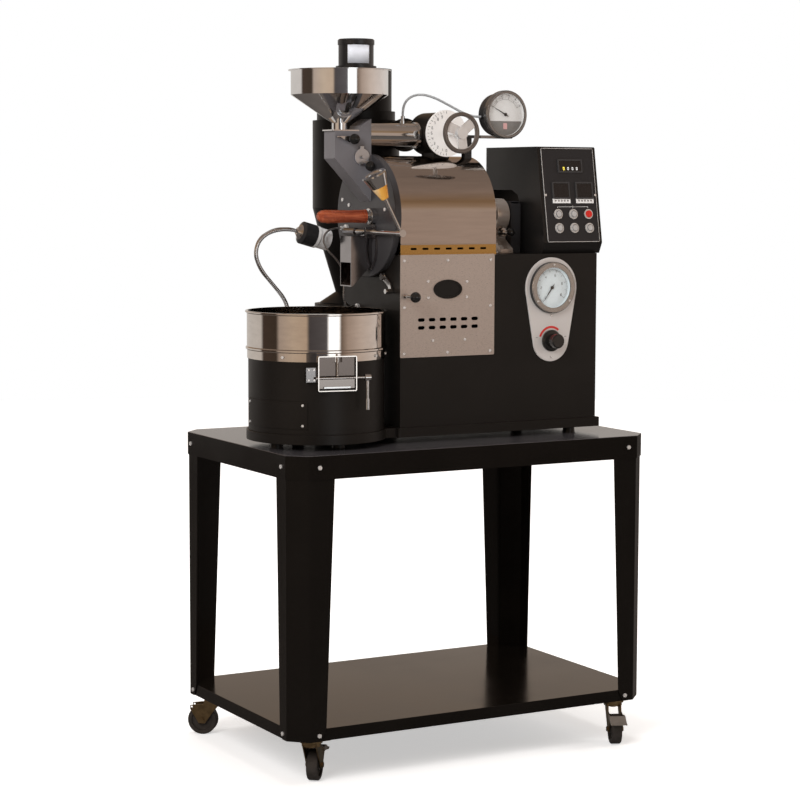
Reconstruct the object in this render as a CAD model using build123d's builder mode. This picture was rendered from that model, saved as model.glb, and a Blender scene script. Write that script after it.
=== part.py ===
from build123d import *
import math
import os

os.makedirs("parts", exist_ok=True)

# Fits
running_fit = 0.05
body_gap = 0.3
sheet = 2.0

# Stand
stand_length = 1000.0
stand_depth = 640.0
stand_height = 783.0
top_sheet = 2.5
apron_height = 56.5
corner_cut = 42.0
leg_sheet = 3.0
leg_top_front = 64.0
leg_top_side = 50.0
leg_foot_front = 42.0
leg_foot_side = 34.0
leg_foot_slant = 26.0
caster_height = 111.0
shelf_skirt = 29.0

# Casters
caster_inset_x = 71.0
caster_inset_y = 50.0
wheel_radius = 37.5
wheel_width = 26.0
wheel_tread = 6.0
caster_trail = 34.0
fork_sheet = 2.5
fork_side_gap = 2.0
kingpin_radius = 5.0
raceway_height = 8.0
raceway_radius = 27.0
mount_sheet = 3.0
mount_side = 74.0
crown_thick = 8.0
axle_radius = 4.0
pedal_reach = 60.0
pedal_height = 72.0
pedal_pin_radius = 2.5
pedal_length = 34.0

# Base and cabinet
foot_height = 15.0
foot_radius = 16.0
base_thick = 23.0
base_overhang = 6.0
cabinet_left = -152.0
cabinet_right = 415.0
cabinet_front = -197.0
cabinet_back = 95.0
cabinet_height = 414.0
partition_x = 118.0
panel_left = -153.0
panel_right = 111.0
panel_height = 247.0
panel_sheet = 2.0

# Drum and its housing
drum_rise = 94.0
drum_radius = 115.0
drum_sheet = 3.0
drum_left = -135.0
drum_right = 105.0
shaft_radius = 12.0
jacket_right = 115.5
jacket_foot = 2.0
face_plate_radius = 150.0
face_plate_thick = 16.0
pedestal_left = 185.0
pedestal_width = 35.0
pedestal_head = 42.0
pedestal_waist = 22.0
pedestal_foot = 58.0
cover_left = 222.5
cover_width = 28.0
driven_sprocket = 30.0
driver_sprocket = 20.0
motor_y = 36.0
motor_rise = 78.0

# Feed side
chute_left = -267.0
chute_step = -199.0
chute_half = 28.5
chute_sheet = 2.5
hopper_x = -240.0
hopper_rim = 117.5
hopper_neck = 18.5
hopper_sheet = 1.5
gate_sheet = 3.0
flap_x = -195.0
trier_y = -95.0
handle_radius = 16.0
handle_length = 128.0
door_axis_x = -180.0
door_shaft_radius = 6.0
spout_left = -226.0
spout_y0 = -84.0
spout_y1 = -28.0
weight_radius = 30.0
weight_height = 66.0

# Cooling bin
bin_x = -328.0
bin_y = -98.0
bin_radius = 163.0
bin_body_height = 171.0
band_height = 20.0
ring_radius = 166.0
rim_radius = 170.0
ring_height = 284.0
screen_rise = 109.0
screen_sheet = 2.0
exit_turn = -10.0
exit_width = 95.0
exit_height = 83.0
exit_flap_height = 25.0

# Exhaust side
pipe_z_rise = 291.0
pipe_radius = 28.0
damper_x = 25.0
damper_radius = 52.0
damper_front = -105.0
duct_radius = 34.0
dial_radius = 57.0
wheel_plane_y = -180.0
hand_wheel_radius = 50.0
cyclone_x = -57.5
cyclone_y = 208.0
cyclone_radius = 111.0
cyclone_wall = 2.0
fan_radius = 91.0
fan_height = 107.0
fan_flange_radius = 100.0
fan_flange_thick = 23.0
outlet_radius = 38.0
outlet_collar = 30.0
bucket_radius = 106.0

# Gauges, regulator and control box
gauge_x = 276.0
gauge_rise = 330.0
gauge_bezel = 64.0
gauge_dial = 49.0
knob_rise = 198.0
air_gauge_x = 199.0
air_gauge_y = -110.0
air_gauge_rise = 344.0
air_gauge_radius = 60.0
air_gauge_cup = 53.0
box_left = 256.0
box_right = 428.0
box_rise = 265.0
box_back = 81.0
control_width = 155.0
control_height = 236.0
button_radius = 9.0
button_travel = 3.0
bezel_radius = 12.5
timer_size = (73.0, 34.0)
controller_size = (52.0, 43.0)

# Tubes
cable_diameter = 5.0
tube_diameter = 6.0
gooseneck_diameter = 9.0

# Levels that stack up from the floor
table_z = stand_height
base_z = table_z + foot_height
base_top = base_z + base_thick
cabinet_top = base_top + cabinet_height
drum_y = (cabinet_front + cabinet_back) / 2
drum_z = cabinet_top + drum_rise
jacket_radius = (cabinet_back - cabinet_front) / 2
pipe_z = cabinet_top + pipe_z_rise
bin_body_top = base_top + bin_body_height
band_top = bin_body_top + band_height
ring_top = base_top + ring_height
screen_z = base_top + screen_rise


def front(x, y, z):
    # Faces the front: local x to the right, local y up, extrudes forward
    return Plane(origin=(x, y, z), x_dir=(1, 0, 0), z_dir=(0, -1, 0))


def side(x, y, z):
    # Faces the right side: local x to the back, local y up, extrudes right
    return Plane(origin=(x, y, z), x_dir=(0, 1, 0), z_dir=(1, 0, 0))


def level(x, y, z):
    return Plane(origin=(x, y, z))


def disc(plane, radius, length, bore=0.0):
    with BuildPart() as piece:
        with BuildSketch(plane):
            Circle(radius)
            if bore > 0:
                Circle(bore, mode=Mode.SUBTRACT)
        extrude(amount=length)
    return piece.part


def block(x0, x1, y0, y1, z0, z1):
    with BuildPart() as piece:
        with Locations(((x0 + x1) / 2, (y0 + y1) / 2, (z0 + z1) / 2)):
            Box(abs(x1 - x0), abs(y1 - y0), abs(z1 - z0))
    return piece.part


def slab(plane, outline, thickness):
    with BuildPart() as piece:
        with BuildSketch(plane):
            with BuildLine():
                Polyline(*outline, close=True)
            make_face()
        extrude(amount=thickness)
    return piece.part


def turned(origin, direction, outline):
    # The outline is given as (radius, distance along the axis)
    along = Vector(*direction).normalized()
    out = Vector(1, 0, 0) if abs(along.X) < 0.5 else Vector(0, 0, 1)
    out = (out - along * out.dot(along)).normalized()
    plane = Plane(origin=origin, x_dir=out, z_dir=out.cross(along))
    with BuildPart() as piece:
        with BuildSketch(plane):
            with BuildLine():
                Polyline(*outline, close=True)
            make_face()
        revolve(axis=Axis(origin, along))
    return piece.part


def ball(x, y, z, radius):
    with BuildPart() as piece:
        with Locations((x, y, z)):
            Sphere(radius)
    return piece.part


def save(piece, name):
    piece.part.label = name
    export_step(piece.part, f"parts/{name}.step")


def save_group(pieces, name):
    solids = [solid for piece in pieces for solid in piece.solids()]
    group = Compound(label=name, children=solids)
    export_step(group, f"parts/{name}.step")


def stand_outline(inset, z):
    with BuildSketch(level(0, 0, z)) as outline:
        Rectangle(stand_length, stand_depth)
        chamfer(outline.vertices(), corner_cut)
        if inset > 0:
            offset(amount=-inset, kind=Kind.INTERSECTION)
    return outline.sketch


# Stand top with its apron, open below
leg_inset = top_sheet
with BuildPart() as stand_top:
    extrude(stand_outline(0, table_z - apron_height), amount=apron_height)
    extrude(
        stand_outline(top_sheet, table_z - apron_height),
        amount=apron_height - top_sheet,
        mode=Mode.SUBTRACT,
    )
    chamfer(stand_top.faces().sort_by(Axis.Z)[-1].edges(), 0.8)
save(stand_top, "stand_top")

# Four tapered legs bent from sheet, each with a cut-off corner
leg_x = stand_length / 2 - leg_inset
leg_y = stand_depth / 2 - leg_inset
leg_top = table_z - top_sheet
leg_reach_x = corner_cut + leg_top_front
leg_reach_y = corner_cut + leg_top_side
foot_reach_x = corner_cut + leg_foot_front
foot_reach_y = corner_cut + leg_foot_side
with BuildPart() as stand_legs:
    extrude(stand_outline(leg_inset, caster_height), amount=leg_top - caster_height)
    extrude(
        stand_outline(leg_inset + leg_sheet, caster_height),
        amount=leg_top - caster_height,
        mode=Mode.SUBTRACT,
    )
    add(
        block(leg_x - leg_reach_x, leg_x + 1, -leg_y - 1, -leg_y + leg_reach_y,
              caster_height, leg_top),
        mode=Mode.INTERSECT,
    )
    with BuildSketch(front(0, -leg_y + leg_sheet + 1, 0)):
        with BuildLine():
            Polyline(
                (leg_x - leg_reach_x - 1, leg_top - apron_height),
                (leg_x - leg_reach_x, leg_top - apron_height),
                (leg_x - foot_reach_x, caster_height + leg_foot_slant),
                (leg_x - foot_reach_x + leg_foot_slant / 2, caster_height),
                (leg_x - foot_reach_x + leg_foot_slant / 2, caster_height - 1),
                (leg_x - leg_reach_x - 1, caster_height - 1),
                close=True,
            )
        make_face()
    extrude(amount=leg_sheet + 2, mode=Mode.SUBTRACT)
    with BuildSketch(side(leg_x - leg_sheet - 1, 0, 0)):
        with BuildLine():
            Polyline(
                (-leg_y + leg_reach_y + 1, leg_top - apron_height),
                (-leg_y + leg_reach_y, leg_top - apron_height),
                (-leg_y + foot_reach_y, caster_height + leg_foot_slant),
                (-leg_y + foot_reach_y - leg_foot_slant / 2, caster_height),
                (-leg_y + foot_reach_y - leg_foot_slant / 2, caster_height - 1),
                (-leg_y + leg_reach_y + 1, caster_height - 1),
                close=True,
            )
        make_face()
    extrude(amount=leg_sheet + 2, mode=Mode.SUBTRACT)
    mirror(about=Plane.YZ)
    mirror(about=Plane.XZ)
save(stand_legs, "stand_legs")

# Shelf tray between the legs, with a gusset over each caster
shelf_inset = leg_inset + leg_sheet
caster_x = stand_length / 2 - caster_inset_x
caster_y = stand_depth / 2 - caster_inset_y
gusset_x = caster_x - mount_side / 2 - 6
gusset_y = caster_y - mount_side / 2 - 6
with BuildPart() as stand_shelf:
    extrude(stand_outline(shelf_inset, caster_height), amount=shelf_skirt)
    extrude(
        stand_outline(shelf_inset + top_sheet, caster_height),
        amount=shelf_skirt - top_sheet,
        mode=Mode.SUBTRACT,
    )
    with BuildSketch(level(0, 0, caster_height)):
        add(stand_outline(shelf_inset + top_sheet / 2, 0))
        with Locations((0, 0)):
            Rectangle(2 * gusset_x, stand_depth, mode=Mode.SUBTRACT)
            Rectangle(stand_length, 2 * gusset_y, mode=Mode.SUBTRACT)
    extrude(amount=mount_sheet)
save(stand_shelf, "stand_shelf")

# Caster mounting plates with raceways and kingpins
fork_crown_z = caster_height - mount_sheet - raceway_height - body_gap
with BuildPart() as caster_plates:
    for sx in (-1, 1):
        for sy in (-1, 1):
            cx, cy = sx * caster_x, sy * caster_y
            with BuildSketch(level(cx, cy, caster_height - mount_sheet)):
                RectangleRounded(mount_side, mount_side, 8)
            extrude(amount=mount_sheet)
            add(disc(level(cx, cy, fork_crown_z + body_gap), raceway_radius, raceway_height))
            pin_end = fork_crown_z - crown_thick - body_gap
            add(disc(level(cx, cy, pin_end), kingpin_radius, caster_height - pin_end - 1))
            add(disc(level(cx, cy, pin_end - 4), kingpin_radius + 4, 4))
save(caster_plates, "caster_plates")

# Casters: fork, wheel and brake pedal
fork_half = wheel_width / 2 + fork_side_gap
caster_headings = {"fl": (0.65, 0.76), "fr": (-0.42, -0.91), "bl": (-0.8, 0.6), "br": (0.5, 0.87)}
caster_sides = {"fl": (-1, -1), "fr": (1, -1), "bl": (-1, 1), "br": (1, 1)}


def caster_plane(corner, shift=0.0):
    # Local x runs along the trail, local y up, the normal along the axle
    sx, sy = caster_sides[corner]
    along = Vector(*caster_headings[corner], 0).normalized()
    axle = along.cross(Vector(0, 0, 1))
    origin = Vector(sx * caster_x, sy * caster_y, 0) + axle * shift
    return Plane(origin=origin, x_dir=along, z_dir=axle)


def caster_fork(corner):
    fork_top = fork_crown_z
    with BuildPart() as fork:
        for start in (-fork_half - fork_sheet, fork_half):
            with BuildSketch(caster_plane(corner, start)):
                with BuildLine():
                    Polyline(
                        (-24, fork_top),
                        (24, fork_top),
                        (30, pedal_height + 8),
                        (pedal_reach + 4, pedal_height + 4),
                        (pedal_reach + 4, pedal_height - 6),
                        (caster_trail + 8, wheel_radius - 8),
                        (caster_trail - 8, wheel_radius - 8),
                        close=True,
                    )
                make_face()
            extrude(amount=fork_sheet)
        crown_width = 2 * (fork_half + fork_sheet)
        with BuildSketch(caster_plane(corner, -fork_half - fork_sheet)):
            with Locations((0, fork_top - fork_sheet / 2)):
                Rectangle(48, fork_sheet)
        extrude(amount=crown_width)
        sx, sy = caster_sides[corner]
        cx, cy = sx * caster_x, sy * caster_y
        add(disc(level(cx, cy, fork_top - crown_thick), raceway_radius - 4, crown_thick))
        add(
            disc(level(cx, cy, fork_top - crown_thick - 1), kingpin_radius + running_fit, 20),
            mode=Mode.SUBTRACT,
        )
        with BuildSketch(caster_plane(corner, -fork_half - fork_sheet - 1)):
            with Locations((pedal_reach, pedal_height)):
                Circle(pedal_pin_radius + running_fit)
        extrude(amount=crown_width + 2, mode=Mode.SUBTRACT)
        axle_half = fork_half + fork_sheet + 4
        with BuildSketch(caster_plane(corner, -axle_half)):
            with Locations((caster_trail, wheel_radius)):
                Circle(axle_radius)
        extrude(amount=2 * axle_half)
        for start in (-axle_half, axle_half - 4):
            with BuildSketch(caster_plane(corner, start)):
                with Locations((caster_trail, wheel_radius)):
                    RegularPolygon(7, 6)
            extrude(amount=4)
    return fork


def caster_wheel(corner):
    with BuildPart() as wheel:
        with BuildSketch(caster_plane(corner, -wheel_width / 2)):
            with Locations((caster_trail, wheel_radius)):
                Circle(wheel_radius - wheel_tread)
                Circle(axle_radius + running_fit, mode=Mode.SUBTRACT)
        extrude(amount=wheel_width)
        with BuildSketch(caster_plane(corner, -wheel_width / 2 - 1)):
            with Locations((caster_trail, wheel_radius)):
                Circle(wheel_radius - wheel_tread - 4)
                Circle(13, mode=Mode.SUBTRACT)
        extrude(amount=6, mode=Mode.SUBTRACT)
        with BuildSketch(caster_plane(corner, wheel_width / 2 - 5)):
            with Locations((caster_trail, wheel_radius)):
                Circle(wheel_radius - wheel_tread - 4)
                Circle(13, mode=Mode.SUBTRACT)
        extrude(amount=6, mode=Mode.SUBTRACT)
        with BuildSketch(caster_plane(corner, -fork_half + body_gap)):
            with Locations((caster_trail, wheel_radius)):
                Circle(9)
                Circle(axle_radius + running_fit, mode=Mode.SUBTRACT)
        extrude(amount=2 * (fork_half - body_gap))
    with BuildPart() as tyre:
        with BuildSketch(caster_plane(corner, -wheel_width / 2)):
            with Locations((caster_trail, wheel_radius)):
                Circle(wheel_radius)
                Circle(wheel_radius - wheel_tread, mode=Mode.SUBTRACT)
        extrude(amount=wheel_width)
        chamfer(tyre.edges().filter_by(GeomType.CIRCLE).sort_by(SortBy.RADIUS)[-2:], 2)
    return wheel, tyre


def brake_pedal(corner):
    # A bent tread on two arms that turn on the pin at the back of the fork
    arm_start = fork_half + fork_sheet + body_gap
    with BuildPart() as pedal:
        for start in (-arm_start - fork_sheet, arm_start):
            with BuildSketch(caster_plane(corner, start)):
                with BuildLine():
                    Polyline(
                        (pedal_reach - 8, pedal_height - 6),
                        (pedal_reach - 8, pedal_height + 6),
                        (pedal_reach + 8, pedal_height + 6),
                        (pedal_reach + pedal_length, pedal_height - 8),
                        (pedal_reach + pedal_length, pedal_height - 12),
                        (pedal_reach + 4, pedal_height - 6),
                        close=True,
                    )
                make_face()
            extrude(amount=fork_sheet)
        with BuildSketch(caster_plane(corner, -arm_start - fork_sheet)):
            with BuildLine():
                Polyline(
                    (pedal_reach + 8.5, pedal_height + 6),
                    (pedal_reach + 8.5, pedal_height + 3),
                    (pedal_reach + pedal_length, pedal_height - 11),
                    (pedal_reach + pedal_length + 6, pedal_height - 10),
                    (pedal_reach + pedal_length + 6, pedal_height - 7),
                    (pedal_reach + pedal_length, pedal_height - 8),
                    close=True,
                )
            make_face()
        extrude(amount=2 * (arm_start + fork_sheet))
        with BuildSketch(caster_plane(corner, -arm_start - fork_sheet)):
            with Locations((pedal_reach, pedal_height)):
                Circle(pedal_pin_radius)
        extrude(amount=2 * (arm_start + fork_sheet))
    return pedal


for corner in caster_sides:
    save(caster_fork(corner), f"caster_fork_{corner}")
    core, tyre = caster_wheel(corner)
    save_group([core.part, tyre.part], f"caster_wheel_{corner}")
for corner in ("fl", "fr"):
    save(brake_pedal(corner), f"brake_pedal_{corner}")


# Sheet base under the cabinet and the cooling bin, on rubber feet
feet = [(350.0, -173.0), (350.0, 75.0), (-318.0, -195.0), (-450.0, -130.0), (-318.0, 20.0),
        (-100.0, 75.0)]
base_disc = bin_radius + 5
base_left = cabinet_left - base_overhang - 2
base_right = cabinet_right + base_overhang + 4
neck_half = 95.0


def base_outline(inset, z):
    with BuildSketch(level(0, 0, z)) as outline:
        with Locations(((base_left + base_right) / 2, drum_y)):
            RectangleRounded(base_right - base_left - 2 * inset,
                             cabinet_back - cabinet_front + 2 * (base_overhang - inset), 6)
        with Locations(((bin_x + base_left) / 2 + 10, bin_y)):
            Rectangle(base_left - bin_x + 20, 2 * (neck_half - inset))
        with Locations((bin_x, bin_y)):
            Circle(base_disc - inset)
    return outline.sketch


with BuildPart() as base_plate:
    extrude(base_outline(0, base_z), amount=base_thick)
    chamfer(base_plate.faces().sort_by(Axis.Z)[-1].edges(), 1)
    extrude(base_outline(sheet, base_z), amount=base_thick - sheet, mode=Mode.SUBTRACT)
with BuildPart() as rubber_feet:
    for fx, fy in feet:
        add(turned((fx, fy, table_z), (0, 0, 1), [
            (0, 0), (foot_radius, 0), (foot_radius - 2, foot_height),
            (foot_radius / 2, foot_height), (foot_radius / 2, foot_height + base_thick - sheet),
            (0, foot_height + base_thick - sheet),
        ]))
save_group([base_plate.part, rubber_feet.part], "base_plate")

# Cabinet shell: front, sides, top and a partition; the rear cover is a separate sheet
window_x = -22.0
window_z = cabinet_top - 82
window_half = (39.5, 23.0)
knob_z = base_top + knob_rise
gauge_z = base_top + gauge_rise
pull_x = -141.0
pull_z = cabinet_top - 97
rod_radius = 4.0
regulator_radius = 14.0
with BuildPart() as cabinet:
    add(block(cabinet_left, cabinet_right, cabinet_front, cabinet_back - sheet,
              base_top, cabinet_top))
    add(block(cabinet_left + sheet, cabinet_right - sheet, cabinet_front + sheet,
              cabinet_back + 1, base_top - 1, cabinet_top - sheet), mode=Mode.SUBTRACT)
    fillet(cabinet.edges().filter_by(Axis.Z).group_by(Axis.Y)[0].group_by(Axis.X)[-1], 3)
    add(block(partition_x, partition_x + sheet, cabinet_front + sheet, cabinet_back - sheet,
              base_top, cabinet_top - sheet))
    # Opening behind the stainless panel and the heat opening under the drum
    add(block(panel_left + 16, panel_right - 8, cabinet_front - 1, cabinet_front + sheet + 1,
              cabinet_top - panel_height + 14, cabinet_top - 12), mode=Mode.SUBTRACT)
    heat_half = math.sqrt(max(drum_radius**2 - (drum_rise - sheet) ** 2, 0)) + 6
    add(block(drum_left - 5, drum_right + 5, drum_y - heat_half, drum_y + heat_half,
              cabinet_top - sheet - 1, cabinet_top + 1), mode=Mode.SUBTRACT)
    add(disc(front(gauge_x, cabinet_front + sheet + 1, gauge_z), gauge_dial + 6.3, 2 * sheet),
        mode=Mode.SUBTRACT)
    add(disc(front(gauge_x, cabinet_front + sheet + 1, knob_z), regulator_radius + body_gap,
             2 * sheet), mode=Mode.SUBTRACT)
    add(disc(front(pull_x, cabinet_front + sheet + 1, pull_z), rod_radius + running_fit,
             2 * sheet), mode=Mode.SUBTRACT)
louvre_z = base_top + 150
with BuildPart() as rear_cover:
    add(block(cabinet_left, cabinet_right, cabinet_back - sheet, cabinet_back,
              base_top, cabinet_top))
    with BuildSketch(front((cabinet_left + cabinet_right) / 2, cabinet_back + 1, louvre_z)):
        with GridLocations(70, 26, 6, 5):
            SlotOverall(46, 7)
    extrude(amount=sheet + 2, mode=Mode.SUBTRACT)
    inlet_x, inlet_z, inlet_radius = 330.0, base_top + 120, 10.0
    add(disc(front(inlet_x, cabinet_back + 1, inlet_z), inlet_radius + body_gap, sheet + 2),
        mode=Mode.SUBTRACT)
save_group([cabinet.part, rear_cover.part], "cabinet")

# Stainless front panel with air slots and the oval window
panel_top = cabinet_top + jacket_foot
with BuildPart() as front_panel:
    add(block(panel_left, panel_right, cabinet_front - panel_sheet, cabinet_front,
              panel_top - panel_height, panel_top))
    fillet(front_panel.edges().filter_by(Axis.Y), 3)
    with BuildSketch(front(window_x, cabinet_front + 1, window_z)):
        Ellipse(window_half[0] - 5, window_half[1] - 5)
    extrude(amount=panel_sheet + 2, mode=Mode.SUBTRACT)
    with BuildSketch(front(-20, cabinet_front + 1, cabinet_top - 164.5)):
        with GridLocations(30, 19, 6, 2):
            SlotOverall(19, 8.6)
    extrude(amount=panel_sheet + 2, mode=Mode.SUBTRACT)
    add(disc(front(pull_x, cabinet_front + 1, pull_z), rod_radius + running_fit,
             panel_sheet + 2), mode=Mode.SUBTRACT)
with BuildPart() as window_frame:
    with BuildSketch(front(window_x, cabinet_front - panel_sheet, window_z)):
        Ellipse(*window_half)
        Ellipse(window_half[0] - 5, window_half[1] - 5, mode=Mode.SUBTRACT)
    extrude(amount=2.5)
with BuildPart() as window_glass:
    with BuildSketch(front(window_x, cabinet_front, window_z)):
        Ellipse(window_half[0] - 5, window_half[1] - 5)
    extrude(amount=panel_sheet + 1)
save_group([front_panel.part, window_frame.part, window_glass.part], "front_panel")

# Air shutter rod with its ball knob, in the panel's left edge
with BuildPart() as air_shutter_rod:
    knob_y = cabinet_front - panel_sheet - 52
    add(turned((pull_x, cabinet_front - panel_sheet - body_gap, pull_z), (0, -1, 0), [
        (0, -95), (rod_radius, -95), (rod_radius, 0), (7, 0), (7, 6), (5, 12), (5, 44), (0, 44),
    ]))
    add(ball(pull_x, knob_y, pull_z, 13))
    add(block(pull_x - 1, pull_x + 1, cabinet_front + 60, cabinet_front + 94,
              pull_z - 22, pull_z + 22))
save(air_shutter_rod, "air_shutter_rod")

# Burner: three tubes on a manifold, carried on rails between the cabinet walls
burner_z = base_top + 300
tube_radius = 9.0
with BuildPart() as burner:
    for rail_y in (drum_y - 49, drum_y + 41):
        add(block(cabinet_left + sheet, partition_x, rail_y, rail_y + 8,
                  burner_z - tube_radius - 14, burner_z - tube_radius - 6))
    for cross_x in (-95, 55):
        add(block(cross_x, cross_x + 8, drum_y - 49, drum_y + 49,
                  burner_z - tube_radius - 7, burner_z - tube_radius + 3))
    for tube_y in (drum_y - 38, drum_y, drum_y + 38):
        add(disc(side(-115, tube_y, burner_z), tube_radius, 205))
    add(disc(front(84, drum_y + 50, burner_z), 12, 100))
    for tube_y in (drum_y - 38, drum_y, drum_y + 38):
        with BuildSketch(level(-20, tube_y, burner_z)):
            with GridLocations(18, 1, 10, 1):
                Circle(1.6)
        extrude(amount=20, mode=Mode.SUBTRACT)
regulator_depth = 60.0
with BuildPart() as gas_train:
    add(disc(front(gauge_x, cabinet_front + sheet + regulator_depth, knob_z), 30,
             regulator_depth))
    add(disc(front(gauge_x, cabinet_front + sheet + 1, knob_z), regulator_radius, sheet + 5))
    add(disc(front(gauge_x, cabinet_front + 12.5, knob_z), 6 + running_fit, 30),
        mode=Mode.SUBTRACT)
    pipe_path_y = cabinet_front + sheet + regulator_depth
    add(disc(front(gauge_x + 54, cabinet_back + 20, inlet_z), inlet_radius - 2,
             cabinet_back + 20 - pipe_path_y - 10))
    add(disc(front(inlet_x, cabinet_back + 20, inlet_z), inlet_radius, 14))
    add(disc(front(inlet_x, cabinet_back + 6, inlet_z), inlet_radius + 4, 6))
    add(disc(level(inlet_x, pipe_path_y + 18, inlet_z), 8, knob_z - inlet_z))
    add(disc(side(gauge_x, pipe_path_y + 18, knob_z), 8, inlet_x - gauge_x + 8))
    add(disc(front(gauge_x, pipe_path_y + 26, knob_z), 8, 30))
save_group([burner.part, gas_train.part], "burner")

# Drum housing: arched jacket with a slotted strip along its foot, and an end plate
jacket_z = cabinet_top + jacket_foot
strip_height = 25.0
with BuildPart() as drum_jacket:
    with BuildSketch(side(cabinet_left, drum_y, drum_z)):
        Circle(jacket_radius)
        with Locations((0, (jacket_z - drum_z) / 2)):
            Rectangle(2 * jacket_radius, drum_z - jacket_z)
        with Locations((0, jacket_z - drum_z - jacket_radius)):
            Rectangle(3 * jacket_radius, 2 * jacket_radius, mode=Mode.SUBTRACT)
    extrude(amount=jacket_right - cabinet_left)
    with BuildSketch(side(cabinet_left - 1, drum_y, drum_z)):
        Circle(jacket_radius - sheet)
        with Locations((0, -jacket_radius / 2)):
            Rectangle(2 * (jacket_radius - sheet), jacket_radius)
    extrude(amount=jacket_right - cabinet_left + 1 - sheet, mode=Mode.SUBTRACT)
    add(block(cabinet_left - 1, jacket_right + 1, cabinet_front - 1, cabinet_back + 1,
              cabinet_top - 60, jacket_z), mode=Mode.SUBTRACT)
    add(disc(side(jacket_right - 5, drum_y, drum_z), shaft_radius + 4, 10), mode=Mode.SUBTRACT)
    with BuildSketch(front(-18.5, cabinet_front + sheet + 1, jacket_z + 14)):
        with GridLocations(32.5, 10, 7, 1):
            SlotOverall(17, 5)
    extrude(amount=sheet + 2, mode=Mode.SUBTRACT)
    add(block(cabinet_left, jacket_right, cabinet_front - 3, cabinet_front,
              jacket_z + strip_height - 1, jacket_z + strip_height + 1))
    add(block(cabinet_left, jacket_right, cabinet_front - 2, cabinet_front,
              jacket_z, jacket_z + 4))
    # Foot flanges that stand on the cabinet top
    for flange_y in (cabinet_front, cabinet_back - 12):
        add(block(cabinet_left, jacket_right, flange_y, flange_y + 12,
                  cabinet_top, jacket_z))
save(drum_jacket, "drum_jacket")

# Face plate with its openings: feed, discharge, trier and the drum's front bearing
plate_left = cabinet_left - face_plate_thick
feed_z0, feed_z1 = drum_z + 41, drum_z + 105
drop_z0, drop_z1 = drum_z - 111, drum_z - 52
trier_z = drum_z - 1
sleeve_radius = 14.0
stub_radius = 10.0
inner_half = chute_half - chute_sheet
with BuildPart() as face_plate:
    add(disc(side(plate_left, drum_y, drum_z), face_plate_radius, face_plate_thick))
    chamfer(face_plate.edges().sort_by(Axis.X)[0], 1.5)
    add(block(plate_left - 1, cabinet_left + 1, -50 - inner_half, -50 + inner_half,
              feed_z0, feed_z1), mode=Mode.SUBTRACT)
    add(block(plate_left - 1, cabinet_left + 1, spout_y0 + 4, spout_y1 - 4,
              drop_z0, drop_z1), mode=Mode.SUBTRACT)
    add(disc(side(plate_left - 1, trier_y, trier_z), sleeve_radius + running_fit,
             face_plate_thick + 2), mode=Mode.SUBTRACT)
    add(disc(side(cabinet_left - 6, drum_y, drum_z), 26, 12))
    add(disc(side(cabinet_left - 10, drum_y, drum_z), stub_radius + running_fit, 20),
        mode=Mode.SUBTRACT)
save(face_plate, "face_plate")

# Drum with its shaft, spider, mixing vanes and driven sprocket
shaft_right = cover_left + cover_width - 8
spider_x = drum_left + 50


def sprocket(x, y, z, radius, teeth, bore):
    with BuildPart() as wheel:
        with BuildSketch(side(x, y, z)):
            Circle(radius - 3)
            with PolarLocations(radius - 3.5, teeth):
                Rectangle(7, 4.5)
            if bore > 0:
                Circle(bore, mode=Mode.SUBTRACT)
        extrude(amount=5)
    return wheel.part


with BuildPart() as drum:
    add(disc(side(drum_left, drum_y, drum_z), drum_radius, drum_right - drum_left,
             drum_radius - drum_sheet))
    add(disc(side(drum_right - drum_sheet, drum_y, drum_z), drum_radius - 1, drum_sheet))
    add(disc(side(drum_left - 14, drum_y, drum_z), stub_radius, spider_x - drum_left + 14))
    add(disc(side(spider_x, drum_y, drum_z), shaft_radius, shaft_right - spider_x))
    add(disc(side(spider_x, drum_y, drum_z), 22, 12))
    with BuildSketch(side(spider_x, drum_y, drum_z)):
        with PolarLocations((drum_radius - drum_sheet) / 2 + 5, 3):
            Rectangle(drum_radius - drum_sheet - 10, 14)
    extrude(amount=4)
    with BuildSketch(side(spider_x + 4, drum_y, drum_z)):
        with PolarLocations(drum_radius - drum_sheet - 14, 6):
            Rectangle(30, 3)
    extrude(amount=drum_right - drum_sheet - spider_x - 4)
    add(sprocket(cover_left + 9, drum_y, drum_z, driven_sprocket, 18, 0))
save(drum, "drum")

# Bearing pedestal behind the drum, with the chain cover and the chain
motor_z = cabinet_top + motor_rise
pin_z = drum_z - 42
pin_boss = pedestal_waist + 10
with BuildPart() as pedestal:
    with BuildSketch(side(pedestal_left, drum_y, 0)):
        with BuildLine():
            Polyline(
                (-pedestal_foot, cabinet_top),
                (pedestal_foot, cabinet_top),
                (pedestal_foot, cabinet_top + 10),
                (pedestal_waist, cabinet_top + 34),
                (pedestal_waist, drum_z - 30),
                (pedestal_head - 10, drum_z),
                (-pedestal_head + 10, drum_z),
                (-pedestal_waist, drum_z - 30),
                (-pedestal_waist, cabinet_top + 34),
                (-pedestal_foot, cabinet_top + 10),
                close=True,
            )
        make_face()
        with Locations((0, drum_z)):
            Circle(pedestal_head)
    extrude(amount=pedestal_width)
    add(disc(front(pedestal_left + pedestal_width / 2, drum_y, pin_z), 12, pin_boss))
    add(disc(side(pedestal_left - 1, drum_y, drum_z), shaft_radius + running_fit,
             pedestal_width + 2), mode=Mode.SUBTRACT)
    add(disc(front(pedestal_left + pedestal_width / 2, drum_y, pin_z), 5 + running_fit, 60),
        mode=Mode.SUBTRACT)
cover_top = drum_z + driven_sprocket + 5
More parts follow.
